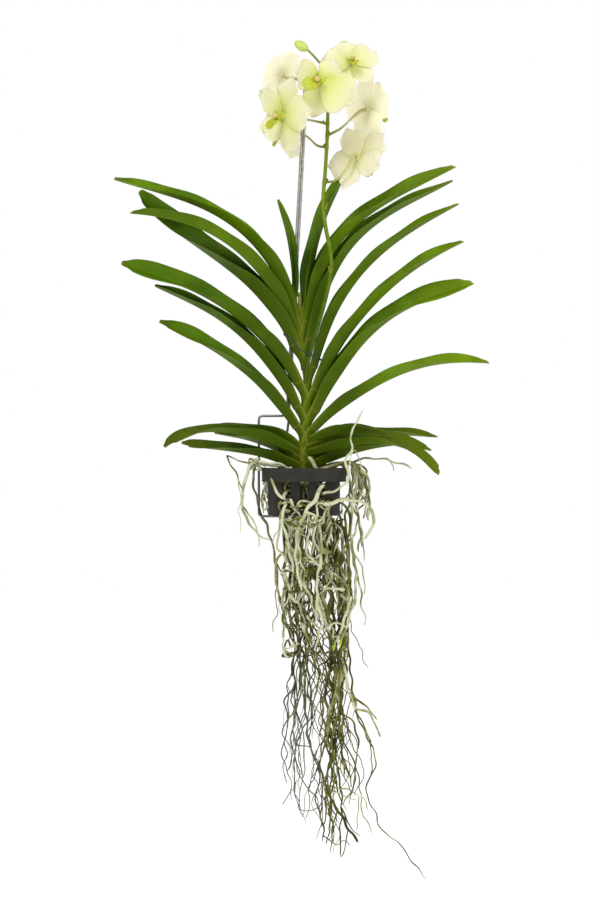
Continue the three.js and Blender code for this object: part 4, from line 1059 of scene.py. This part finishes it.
# Roots with a way of their own: their radii, their tone, whether the tip is still growing, and their points.
OWN_WAYS = (
    (1.9, 1.3, 0.15, 0, [
        [-6, -8, -12], [-16, -22, -1], [-34, -30, 5], [-52, -30, 7], [-62, -29, 3], [-66.7, -28, -14],
        [-71, -27, -33], [-71, -26, -41], [-65.5, -25, -57.5], [-53, -24, -75], [-40, -24, -82]]),
    (1.3, 0.8, 0.4, 0, [
        [-8, -6, -12], [-22, -15, 0], [-50, -24, 4.5], [-74, -23, 8], [-89, -23, 15], [-83, -23, 4],
        [-77, -24, -8], [-72, -25, -19], [-69.5, -26, -27]]),
    (1.6, 1.1, 0.5, 0, [
        [-8, 8, -12], [-24, 24, 0], [-44, 32, 5], [-55, 31.5, 4], [-59, 29.5, -13], [-50, 26, -52],
        [-40, 24, -76], [-33, 20, -108], [-29, 15, -146], [-19, 8, -180], [-11, 2, -196]]),
    (1.9, 1.5, 0.05, 0, [[-4, -6, -18], [-20.6, -34, -27], [-23, -46, -35], [-30, -51.5, -27], [-38, -52, -12]]),
    (2.1, 1.5, 0.1, 0, [
        [-2, -6, -20], [-19.5, -34, -38], [-21, -46, -40.5], [-25, -50, -54], [-18, -40, -86], [-12, -34, -118]]),
    (2.3, 1.7, 0.0, 0, [
        [3, -6, -16], [20.6, -34, -19], [19, -47, -23], [10, -52, -38], [-4, -51, -60], [-8, -46, -78],
        [-9, -42, -106], [-3, -38, -138]]),
    (1.9, 1.0, 0.05, 0, [
        [5, -5, -17], [20.6, -34, -29], [25, -47.5, -28], [34, -52, -25], [47, -54, -18], [50, -54, -8],
        [47, -53, 6], [54, -51, 24], [53, -49, 36], [59, -46, 52], [66.5, -44, 65]]),
    (2.1, 1.6, 0.0, 0, [
        [5, -6, -20], [19.5, -34, -38], [23, -47, -41], [38, -51, -37], [56, -48, -36], [74, -40, -44],
        [79, -34, -56], [77, -30, -70], [68, -27, -80]]),
    (2.2, 1.6, 0.2, 0, [
        [6, 8, -12], [20, 24, -1], [36, 30, 4], [54, 29, 4], [66, 24, -8], [73, 20, -24], [75, 16, -38],
        [74, 14, -60]]),
    (1.9, 1.4, 0.25, 1, [
        [6, -8, -12], [22, -22, -1], [42, -27, 5], [55, -26, 3.5], [59.5, -23, -15], [55, -20, -40],
        [54, -18, -82], [59, -16, -118], [58, -15, -150], [49, -15, -180], [40, -20, -205]]),
    (1.8, 1.2, 0.35, 0, [
        [7, 0, -10], [22, 4, 1], [40, 7, 5], [54, 7, 4], [61, 6, -8], [64, 5, -26], [61, 4, -48],
        [66, 3, -72], [62, 2, -96]]),
    (1.5, 1.0, 0.1, 0, [
        [6, 4, -10], [22, 14, 1], [40, 17, 5], [55, 16, 6], [70, 13, 11], [90, 10, 10], [108, 8, 6], [124, 6, 0]]),
    (1.9, 1.3, 0.5, 0, [
        [4, 10, -12], [14, 27, -1], [30, 38, 4], [44, 51, 4], [52, 54, -10], [54, 52, -34], [48, 48, -62],
        [52, 42, -94], [46, 36, -124]]),
    (2.0, 1.4, 0.3, 0, [
        [-3, 10, -12], [-8, 28, -1], [-13, 42, 4.5], [-17, 54.5, 5], [-20, 58.5, -12], [-18, 54, -40],
        [-22, 48, -72], [-18, 40, -108]]),
    (2.1, 2.1, 0.0, 0.25, [[7, -8, -12], [15, -15, -2], [11, -14.5, 6], [5, -12, 12]]),
    (1.5, 0.6, 0.65, 0, [
        [5, 2, -22], [20, 9, -44], [23, 10, -60], [38, 12, -110], [48, 10, -160], [52, 6, -215], [61, 4, -284],
        [75, 2, -314], [83, 0, -338], [77, 0, -354], [71, 0, -370], [82, 0, -397], [90, 0, -417],
        [108, -2, -430], [124, -2, -452], [140, -2, -471]]),
)
# Finer roots in the same mass: darker ones behind, silver ones among them, and thin ones far down.
FINE_STRANDS = (
    (13, (1.3, 0.7), (-115, -270), 13.0, 0.85, [
        [-60, 14, 8, 40, 20], [-110, 9, 6, 34, 22], [-165, 14, 4, 30, 20], [-215, 22, 2, 25, 16],
        [-270, 24, 2, 24, 14]]),
    (16, (1.5, 0.8), (-95, -190), 13.0, 0.1, [
        [-60, 10, -16, 36, 14], [-110, 8, -16, 32, 18], [-165, 12, -12, 28, 18], [-200, 18, -8, 22, 14]]),
    (16, (0.8, 0.5), (-350, -447), 8.0, 0.55, [
        [-60, 16, 0, 34, 20], [-140, 14, 0, 32, 20], [-215, 24, 0, 26, 16], [-260, 26, 0, 24, 14],
        [-330, 36, 0, 26, 16], [-380, 38, 0, 28, 16], [-440, 44, 0, 26, 14]]),
)
# Roots that can be followed one by one: their radii, tone, whether the tip still grows, the depth at which they start
# and end, and the way that they go, seen from the front.
FOLLOWED = (
    (1.5, 1.2, 0.05, 0, -51, -34, [38, -38, 28, -43, 24.5, -48, 22, -55, 13.4, -65, 11, -73, 12, -83, 17, -95.5]),
    (1.4, 1.1, 0.5, 0, -18, -8, [
        -17, -90, -25, -98, -31, -105, -33, -115, -32, -130, -29.5, -144.5, -24.6, -159, -19.7, -169]),
    (1.6, 1.1, 0.1, 0, -38, -24, [-24, -52, -27, -61, -28, -71, -31, -83, -29.5, -92, -26, -97, -20, -108]),
    (1.9, 1.2, 0.3, 0, -36, -18, [-14.8, -94, -5, -102, 7, -106, 19.6, -108, 27, -115, 38, -124, 48, -132, 50, -142]),
    (1.7, 1.2, 0.05, 0, -44, -26, [5, -52, 6, -61, 7, -73, 3.6, -83, 2.4, -95.5, 11, -105, 19.6, -115, 22, -122]),
    (1.7, 1.2, 0.8, 0, -22, -10, [-2, -92, 4.8, -105, 11, -117.5, 16, -132, 18, -144.5, 19.6, -157]),
    (1.5, 1.1, 0.72, 0, -26, -16, [
        34, -38, 44, -41, 50, -46, 52.7, -63.6, 51.4, -76, 46.5, -89, 39, -103, 33, -114, 30, -126]),
    (1.4, 1.0, 0.3, 0, -20, -10, [57, -26, 61, -50, 58.8, -73, 51.4, -83, 45, -95.5, 48, -114, 50, -128.6]),
    (1.5, 1.3, 0.5, 0, -32, -30, [-3, -96, -2.5, -108, 0, -120, -2.5, -132]),
    (1.8, 2.0, 0.1, 0, -24, -18, [-22, -120, -18.5, -132, -14.8, -144.5, -7.4, -154]),
    (1.3, 1.0, 0.0, 0, -52, -50, [2, -49, 7, -51, 12, -53, 13.5, -58, 9.5, -61, 6, -57]),
    (1.6, 1.2, 0.1, 0, -47, -42, [-15, -36, -12, -44, -6, -52.5, -3, -60]),
    (2.0, 1.7, 0.05, 0, -36, -30, [-20, -84, -12.3, -95.5, -5, -101.6, 4, -104]),
    (1.4, 1.0, 0.62, 0, -30, -20, [22, -56, 26, -70, 24, -86, 29, -98, 27, -112, 31, -128]),
    (1.3, 1.0, 0.88, 0, -20, -12, [34, -58, 30, -74, 32, -90, 26, -104, 22, -118, 24, -134]),
    (1.3, 1.0, 0.15, 0, -30, -22, [30, -60, 24, -76, 18, -88, 20, -104, 14, -116]),
    (1.3, 1.0, 0.9, 0, -14, -8, [36, -44, 42, -58, 40, -78, 36, -92, 38, -108, 34, -120, 37, -136]),
    (2.2, 2.0, 0.58, 0, -16, -8, [19.8, -142.6, 25.3, -161, 30.8, -179, 33.6, -198, 37.3, -212, 41, -225, 43.7, -244]),
    (1.3, 1.1, 0.85, 0, -14, -12, [40, -150, 42, -165, 43.7, -176, 39, -189, 36, -196, 37, -210]),
    (1.2, 1.0, 0.85, 0, -8, -6, [47, -166, 49, -181, 48, -198, 45.5, -216, 43, -232]),
    (1.6, 1.7, 0.0, 1, -22, -20, [54, -148, 49, -163, 43.7, -181, 38, -196, 33.6, -208]),
    (1.8, 1.4, 0.2, 0, -22, -16, [17, -148, 20.7, -161, 25.3, -179, 30, -189, 34.5, -199]),
    (1.4, 1.1, 0.95, 0, -8, -4, [-6, -146, -4, -161, -2.3, -175, -2.3, -189, -3.2, -207, -0.5, -216, -0.5, -235]),
    (1.6, 2.1, 0.25, 0, -14, -12, [-2, -178, 1.4, -190, 6.9, -206]),
    (1.4, 1.1, 0.55, 0, -24, -14, [-6, -120, 0.5, -132, 12.4, -157, 19.8, -166, 26, -178]),
    (1.1, 0.9, 0.8, 0, -10, -8, [0, -166, 5, -176, 16, -198, 25, -214, 32, -226]),
    (1.0, 0.8, 0.75, 0, -8, -8, [4, -202, 10.6, -210, 24.4, -221, 37.3, -235]),
    (0.9, 0.8, 0.95, 0, -4, -4, [-4, -200, -8.7, -210, -13.3, -222, -14.3, -239]),
    (0.8, 0.7, 0.95, 0, -6, -4, [-1, -204, -4, -213, -7, -230, -9.4, -245]),
    (1.1, 0.9, 0.9, 0, -12, -10, [-14, -142, -12, -156, -8, -170, -9, -186, -5, -200]),
    (1.0, 0.8, 1.0, 0, -4, -2, [-14.4, -232, -9.4, -245.5, -17.7, -259, -22.6, -269, -19.3, -283, -18.5, -295]),
    (0.9, 0.7, 1.0, 0, -6, -6, [
        -9.4, -245.5, -15.2, -265, -11, -275, -19.3, -290, -24.3, -300, -25, -306.5, -12.7, -323, -11, -331]),
    (1.1, 0.8, 0.95, 0, -8, -4, [
        2, -232, 0.5, -252, 0.5, -269, 3.8, -295, 5.4, -311, 12, -331, 18.6, -348, 17.8, -361, 13.7, -372,
        15.3, -390.5, 21.9, -407, 21.9, -428]),
    (0.7, 0.5, 1.0, 0, -6, -10, [-11, -331, -11, -358, -8.6, -381, -6, -390.5, 3.8, -393, 20, -387]),
    (0.8, 0.6, 1.0, 0, -6, -2, [-11, -331, -4.5, -354, 7, -371, 13.6, -376, 16, -392]),
    (0.9, 0.7, 1.0, 0, -2, -2, [
        -9.4, -245.5, -11, -265, -7.8, -282, -2.8, -298, -2, -301.5, -9.4, -318, -12.7, -331, -19.3, -348]),
    (0.8, 0.6, 0.95, 0, -2, -6, [-9.4, -318, 7, -322, 12, -331]),
    (1.0, 0.8, 0.9, 0, -4, -2, [18.6, -232, 15.3, -252, 10.4, -269, 8.7, -282, 2, -295, -2.8, -303, -9.4, -318]),
    (1.0, 0.9, 0.8, 0, -6, -4, [30, -255, 22, -264, 22, -282, 25, -301.5, 26.8, -306.5]),
    (1.0, 0.8, 0.85, 0, -4, -4, [26.8, -308, 22, -325, 17, -339, 17.8, -361]),
    (2.0, 1.6, 0.55, 0, -8, -6, [43, -232, 38.4, -257, 33.4, -270, 28.5, -282, 26.8, -306.5, 29, -322]),
    (1.4, 0.9, 0.7, 0, -6, -4, [
        40, -257, 40, -282, 41.7, -295, 36.7, -313, 31.8, -334.5, 26.8, -351, 25, -364, 25, -397, 22, -412]),
    (1.4, 0.8, 0.72, 0, -2, 0, [
        28.5, -295, 35, -315, 36.7, -331, 39, -348, 41.7, -364, 43.3, -381, 43.3, -397, 41.7, -414,
        41.7, -430, 42.5, -446.6]),
    (1.5, 1.7, 0.8, 0, -6, -6, [25, -369, 33.4, -384, 43.3, -400, 53, -417, 62, -429]),
    (1.1, 0.8, 0.6, 0, -4, 0, [41.7, -282, 53, -288, 59.8, -301.5, 62.3, -321, 59, -341, 58, -361, 53, -374, 45, -386]),
    (0.9, 0.7, 0.7, 0, 0, 2, [40, -301.5, 50, -323, 59, -341, 63, -358, 65.6, -377]),
    (2.0, 1.0, 0.2, 0, -6, -4, [
        44, -222, 46.6, -232, 53, -262, 59.8, -275, 66.4, -278.5, 76.3, -283, 83, -298, 87.8, -309]),
    (1.3, 0.9, 0.3, 0, -4, -2, [53, -258, 64.7, -270, 73, -273.5, 78, -283, 83.7, -289]),
    (1.2, 0.9, 0.45, 0, -4, 0, [53, -262, 59.8, -278.5, 68, -295, 76.3, -313]),
    (0.9, 0.7, 0.6, 0, 0, 2, [76.3, -313, 77, -331, 78.8, -348, 76.3, -354]),
    (0.9, 0.7, 0.2, 0, -4, 0, [18.6, -361, 26.8, -365, 46.6, -369, 66.4, -378, 74, -393]),
    (0.8, 0.6, 0.25, 0, -2, 0, [26.8, -367.5, 44, -376, 59.8, -382]),
    (0.8, 0.5, 0.3, 0, 0, 2, [66.4, -378, 66.4, -397, 76.3, -412, 78.8, -423]),
    (0.8, 0.5, 0.3, 0, 0, 0, [63, -379, 62.3, -397, 59.8, -417]),
    (0.9, 0.7, 0.85, 0, -4, -4, [38.4, -394, 33.4, -410, 31, -424]),
    (0.7, 0.5, 0.8, 0, -4, -4, [22, -422, 36.7, -432, 45, -428, 52.4, -434]),
    (0.9, 0.6, 0.75, 0, -4, -4, [43.3, -390.5, 50, -405, 56.5, -417, 64, -423]),
    (0.8, 0.6, 0.85, 0, -4, -4, [50, -417, 46.6, -438, 42.5, -446.6]),
    (0.6, 0.45, 1.0, 0, -4, -6, [-24.3, -386, -12.7, -367.5, -7.8, -358]),
    (0.6, 0.5, 0.8, 0, -2, -2, [43.3, -334.5, 51.6, -356]),
    (0.8, 0.6, 1.0, 0, -4, -4, [-0.4, -303, 0, -325, 0.5, -341, 0, -356]),
    (0.7, 0.5, 1.0, 0, -4, -4, [-18.5, -295, -22, -312, -20, -330, -24, -344, -20, -362]),
    (0.7, 0.5, 0.9, 0, -4, -4, [17, -339, 11, -356, 5, -372, 7, -388, 2, -402]),
    (0.8, 0.6, 0.8, 0, -4, -4, [25, -364, 31, -380, 29, -398, 35, -414, 33, -430]),
    (0.7, 0.5, 0.7, 0, -4, -4, [26, -351, 34, -362, 33, -378, 40, -392]),
)
# Where roots lie too thick to follow: their count, radii, tones, the box that they keep to, and how long each is.
THICKETS = (
    (80, (0.9, 2.0), (0.3, 1.0), [[-37, -35, -52], [37, 35, -12]], 80),
    (16, (0.6, 1.1), (0.15, 0.5), [[-62, -34, -2], [-44, -14, 11]], 34),
    (18, (0.8, 1.7), (0.0, 0.9), [[-24, -34, -140], [44, -4, -48]], 105),
    (14, (0.6, 1.3), (0.0, 0.9), [[-24, -24, -215], [50, 6, -115]], 110),
    (16, (0.8, 1.6), (0.1, 0.8), [[-27, -50, -66], [30, -44, -38]], 40),
    (16, (0.5, 1.0), (0.2, 0.6), [[-47, -30, -52], [-42, 2, -14]], 34),
)
OVER_RIM = {"count": 15, "rim": 5.5, "inner": 43.0, "outer": 56.0}


def root_tube(points, thick, thin, tone, fresh, draw, sides=10):
    """A root along a smooth line. Its radius falls from thick to thin, with slow bulges and thin waists, and its
    skin's tone drifts as it goes."""
    line = smooth(points, ROOT_STEP)
    share = np.linspace(0, 1, len(line))
    run = share * ROOT_STEP * len(line)
    phase = draw.uniform(0, 6.3, 6)
    _, side, other = square_to(line)
    kink = 0.7 * np.sin(run / 5.1 + phase[0]) + 0.4 * np.sin(run / 2.9 + phase[1])
    kink2 = 0.7 * np.sin(run / 4.3 + phase[2]) + 0.4 * np.sin(run / 3.3 + phase[3])
    calm = ramp(run, 0, 20)[:, None]
    line = line + calm * (side * kink[:, None] + other * kink2[:, None])
    bulge = 1 + 0.1 * np.sin(run / 9 + phase[4]) + 0.06 * np.sin(run / 3.7 + phase[5])
    radius = (thick + (thin - thick) * share) * bulge * (1 - 0.45 * ramp(share, 0.97, 1.0))
    drift = np.clip(tone + 0.12 * np.sin(run / 23 + phase[1]), 0, 1)
    flat = lambda turn, t: 1 + 0.08 * np.cos(2 * turn + 9 * t)
    return line, tube(line, radius, sides, flat, tone=drift, tip=fresh * ramp(run[-1] - run, 14, 6), run=run)


def level_at(levels, height):
    """A strand's middle and half sizes at a height, eased from one level to the next."""
    levels = np.asarray(levels, float)
    k = int(np.clip(np.searchsorted(-levels[:, 0], -height, side="right") - 1, 0, len(levels) - 2))
    share = ramp(levels[k, 0] - height, 0, levels[k, 0] - levels[k + 1, 0])
    return levels[k] + (levels[k + 1] - levels[k]) * share


def strand_points(strand, i):
    """A strand root's points: out of the crown, down through a slot in the floor, then down its own lane, which turns
    slowly round the strand's middle at the square root of the root's share of the count."""
    count, _, ends, wander, _, levels = strand
    lane = math.sqrt((i + 0.5) / count)
    turn = i * GOLDEN * 2 * math.pi

    def lane_at(height):
        """Where this root's lane lies at a height."""
        _, x, y, width, depth = level_at(levels, height)
        angle = turn + height * LANE_TURN
        return [x + lane * width * math.cos(angle), y + lane * depth * math.sin(angle), height]

    start_x, start_y, _ = lane_at(UNDER_FLOOR)
    slot = max(-1, min(1, round(start_x / FLOOR_PITCH)))
    wide, deep = (0, WIRE_PLAY) if slot < 0 else (SLOT_PLAY, FLOOR_PLAY)
    floor_x = slot * FLOOR_PITCH + min(wide, max(-SLOT_PLAY, start_x - slot * FLOOR_PITCH))
    floor_y = max(-FLOOR_PLAY, min(deep, start_y))
    through = ((0.35, CROWN["middle"] - 2), (0.85, -38), (1, -50), (1, -57.5))
    points = [[floor_x * out, floor_y * out, z] for out, z in through]
    end = ends[0] + (ends[1] - ends[0]) * ((i * GOLDEN) % 1)
    drops = round((LANES_START - end) / LANE_DROP)
    for k in range(drops + 1):
        x, y, z = lane_at(LANES_START + (end - LANES_START) * k / drops)
        swing = wander * min(1, k / 3)
        points.append([x + swing * math.sin(z / 12 + turn * 3), y + swing * math.cos(z / 15 + turn * 5), z])
    return points


def side_root(line, from_share, long, lean, thick, tone, draw):
    """A fork: it leaves a root sideways, then hangs, with a small kink at each step."""
    k = int(from_share * (len(line) - 1))
    heading = unit(line[min(k + 1, len(line) - 1)] - line[k - 1])
    away = unit([draw.normal(), draw.normal() * 0.7, 0])
    count = max(4, int(long / FORK_KINK))
    share = np.linspace(0, 1, count)[:, None]
    turned = unit(heading * (1 - share) + np.array([0, 0, -1.0]) * share + away * lean * (1 - share * 0.9))
    steps = turned * long / count + draw.normal(0, 1.6, (count, 3)) * [1, 0.8, 0.3] * ramp(share, 0.0, 0.3)
    points = np.concatenate([line[k][None], line[k] + np.cumsum(steps, axis=0)])
    return root_tube(points, thick, thick * 0.55, tone, 0, draw, 7)[1]


def thicket(count, radii, tones, box, long, draw):
    """Roots that turn at random at each step and are held inside a box."""
    low, high = np.asarray(box, float)
    made = []
    for _ in range(count):
        turns = np.cumsum(draw.normal(0, 1, (max(4, int(long / THICKET_KINK)), 3)), axis=0) * 7
        points = np.clip(draw.uniform(low, high) + turns, low, high) + draw.normal(0, 0.8, turns.shape)
        radius = draw.uniform(*radii)
        made.append(root_tube(points, radius, radius * 0.8, draw.uniform(*tones), 0, draw, 8)[1])
    return made


def over_rim(draw):
    """Roots that come up out of the basket, lie over its right rim and hang in a bow beside it."""
    made = []
    for _ in range(OVER_RIM["count"]):
        y, out = draw.uniform(-30, 34), draw.uniform(0, 15)
        foot = draw.uniform(-62, -22)
        y2 = y + draw.normal(0, 5)
        points = [
            [26, y * 0.7, -4],
            [OVER_RIM["inner"], y, OVER_RIM["rim"]],
            [OVER_RIM["outer"], y, OVER_RIM["rim"]],
            [57 + out + draw.normal(0, 2), y2, draw.uniform(-12, -2)],
            [59 + out + draw.normal(0, 5), y2, (foot - 8) / 2],
            [57 + out * 0.8 + draw.normal(0, 5), y2 + draw.normal(0, 5), foot],
        ]
        radius = draw.uniform(0.6, 1.7)
        made.append(root_tube(points, radius, radius * 0.75, draw.uniform(0, 0.65), 0, draw, 9)[1])
    return made


def crown():
    """A knobbly ball flattened to the crown's height."""
    lift = np.sin(np.linspace(-1.4, 1.4, 30))
    line = upright(CROWN["middle"] + lift * CROWN["height"])
    knobs = lambda turn, t: 1 + 0.09 * np.sin(5 * turn + 9 * t) * np.sin(11 * t + 2 * turn)
    return tube(line, CROWN["width"] * np.sqrt(1 - lift**2), 30, knobs, tone=0.35, tip=0.0, run=lift * 10)


def velamen():
    """Silver, beige, olive and dark by age, which is a root's tone with soft patches; dark rings along it, a dried
    grey skin far down on the left, and a lime tip where the root still grows."""
    material, tree = started("velamen")
    tone, tip, run = mark(tree, "tone"), mark(tree, "tip"), mark(tree, "run")
    patch, grain = patchy(tree, 70.0, 0.2)
    x, _, z = axes(tree)
    age = tone + eased(z, -0.6, -0.76, 0.0, 0.1) + (patch - 0.5) * 0.55
    body = mixed(eased(age, 0.05, 0.4), ROOT_SILVER, ROOT_BEIGE)
    body = mixed(eased(age, 0.35, 0.7), body, ROOT_OLIVE)
    body = mixed(eased(age, 0.7, 1.1), body, ROOT_DARK)
    along = Field(step(tree, "CombineXYZ", X=run * 0.9).outputs[0])
    rings = eased(cloudy(along, 1.0), 0.52, 0.6)
    body = mixed(rings * 0.26, body, ROOT_DARK)
    body = mixed(eased(z, -0.64, -0.8, 0.0, 0.65) * eased(x, 0.03, 0.0), body, ROOT_DRIED)
    return finished(
        material,
        Specular_IOR_Level=0.25,
        Base_Color=mixed(tip, body, ROOT_TIP),
        Roughness=eased(tip, 0.0, 1.0, 0.82, 0.45),
        Normal=raised(rings * 0.3 + grain, 0.5, 0.0004),
    )


root_skin = velamen()
root_draw = np.random.default_rng(23)
hung, fine = [], []
for strands, kept, sides in ((STRANDS, hung, 10), (FINE_STRANDS, fine, 8)):
    for strand in strands:
        count, radii, _, _, strand_tone, _ = strand
        for i in range(count):
            varied = strand_tone + root_draw.uniform(-0.12, 0.12)
            grown = root_tube(strand_points(strand, i), *radii, varied, 0, root_draw, sides)
            kept.append((*grown, varied, radii[1]))
own = [
    (*root_tube(points, thick, thin, own_tone, fresh, root_draw, 12), own_tone, thin)
    for thick, thin, own_tone, fresh, points in OWN_WAYS
]
forks = []
for line, _, parent_tone, thin in hung + own[:-1]:
    for _ in range(3 if len(line) > FORKING_OFTEN else 1):
        start, long = root_draw.uniform(0.35, 0.9), root_draw.uniform(22, 70)
        if line[int(start * (len(line) - 1))][2] - long < LOWEST_FORK or len(line) < FORKING:
            continue
        shade = parent_tone + root_draw.uniform(-0.1, 0.25)
        lean, thinner = root_draw.uniform(0.2, 0.8), root_draw.uniform(0.6, 0.95)
        forks.append(side_root(line, start, long, lean, thin * thinner, shade, root_draw))
followed = []
for thick, thin, own_tone, fresh, near, far, way in FOLLOWED:
    seen = np.reshape(way, (-1, 2))
    points = np.stack([seen[:, 0], np.linspace(near, far, len(seen)), seen[:, 1]], axis=1)
    followed.append(root_tube(points, thick, thin, own_tone, fresh, root_draw, 9)[1])
crowded = [surface for row in THICKETS for surface in thicket(*row, root_draw)] + over_rim(root_draw)
for group, surfaces in {
    "hanging_roots": [crown()] + [row[1] for row in hung],
    "aerial_roots": [row[1] for row in own],
    "side_roots": forks,
    "followed_roots": followed,
    "fine_roots": [row[1] for row in fine],
    "crowded_roots": crowded,
}.items():
    piece(group, joined(surfaces), root_skin, "root_tissue", "roots")

# ---------------------------------------------------------------- floor, light and camera
# A plain pale floor well under the roots, soft light from a white room with one large lamp at the upper left, and a
# level camera that stands 3.2 m in front of the stem.
FLOOR_HEIGHT = -0.99
FLOOR_HALF = 6.0
MM_PER_PIXEL = 1.15
PICTURE = (600, 899)
STEM_FOOT_PIXEL = (304, 468)
CAMERA_DISTANCE = 3200.0
SENSOR = 24.0
ROOM_LIGHT = 0.4
WHITE = (1, 1, 1, 1)
FLOOR_GREY = (0.93, 0.93, 0.93, 1)
FLOOR_WHITE = (0.95, 0.95, 0.94, 1)

floor_mesh = bpy.data.meshes.new("floor")
corners = [(-1, -1), (1, -1), (1, 1), (-1, 1)]
floor_mesh.from_pydata([(x * FLOOR_HALF, y * FLOOR_HALF, FLOOR_HEIGHT) for x, y in corners], [], [(0, 1, 2, 3)])
floor_paper, floor_tree = started("floor_paper")
floor_tone = mixed(patchy(floor_tree, 3.0, 0.3)[0], FLOOR_GREY, FLOOR_WHITE)
finished(
    floor_paper, Roughness=0.9, Specular_IOR_Level=0.1, Base_Color=floor_tone, Emission_Color=WHITE,
    Emission_Strength=0.62,
)
floor_mesh.materials.append(floor_paper)
floor = stand("floor", floor_mesh)

world = bpy.data.worlds.new("white_room")
world.use_nodes = True
straight = Field(step(world.node_tree, "LightPath").outputs["Is Camera Ray"])
room = straight * (1.0 - ROOM_LIGHT) + ROOM_LIGHT
fill(world.node_tree.nodes["Background"].inputs, Color=WHITE, Strength=room)
bpy.context.scene.world = world
bpy.context.scene.view_settings.view_transform = "Standard"


def lamp(name, at, towards, size, power):
    """A square area lamp that looks from one point towards another."""
    data = bpy.data.lights.new(name, "AREA")
    data.shape, data.size, data.energy = "SQUARE", size, power
    made = stand(name, data)
    made.location = at
    ahead = unit(np.subtract(towards, at))
    made.rotation_mode = "XYZ"
    made.rotation_euler = (math.acos(-ahead[2]), 0, math.atan2(ahead[1], ahead[0]) - math.pi / 2)


lamp("key_lamp", (-0.8, -1.9, 1.7), (0, 0, -0.3), 1.2, 42)
lamp("fill_lamp", (1.6, -1.7, 0.7), (0, 0, -0.4), 1.6, 20)

camera_data = bpy.data.cameras.new("camera")
camera_data.sensor_fit = "VERTICAL"
camera_data.sensor_height = SENSOR
camera_data.lens = SENSOR * CAMERA_DISTANCE / (PICTURE[1] * MM_PER_PIXEL)
camera = stand("camera", camera_data)
camera_column = (PICTURE[0] / 2 - STEM_FOOT_PIXEL[0]) * MM_PER_PIXEL
camera_row = (STEM_FOOT_PIXEL[1] - PICTURE[1] / 2) * MM_PER_PIXEL
camera.location = in_frame([camera_column, -CAMERA_DISTANCE, camera_row])
camera.rotation_euler = (math.pi / 2, 0, 0)
bpy.context.scene.camera = camera
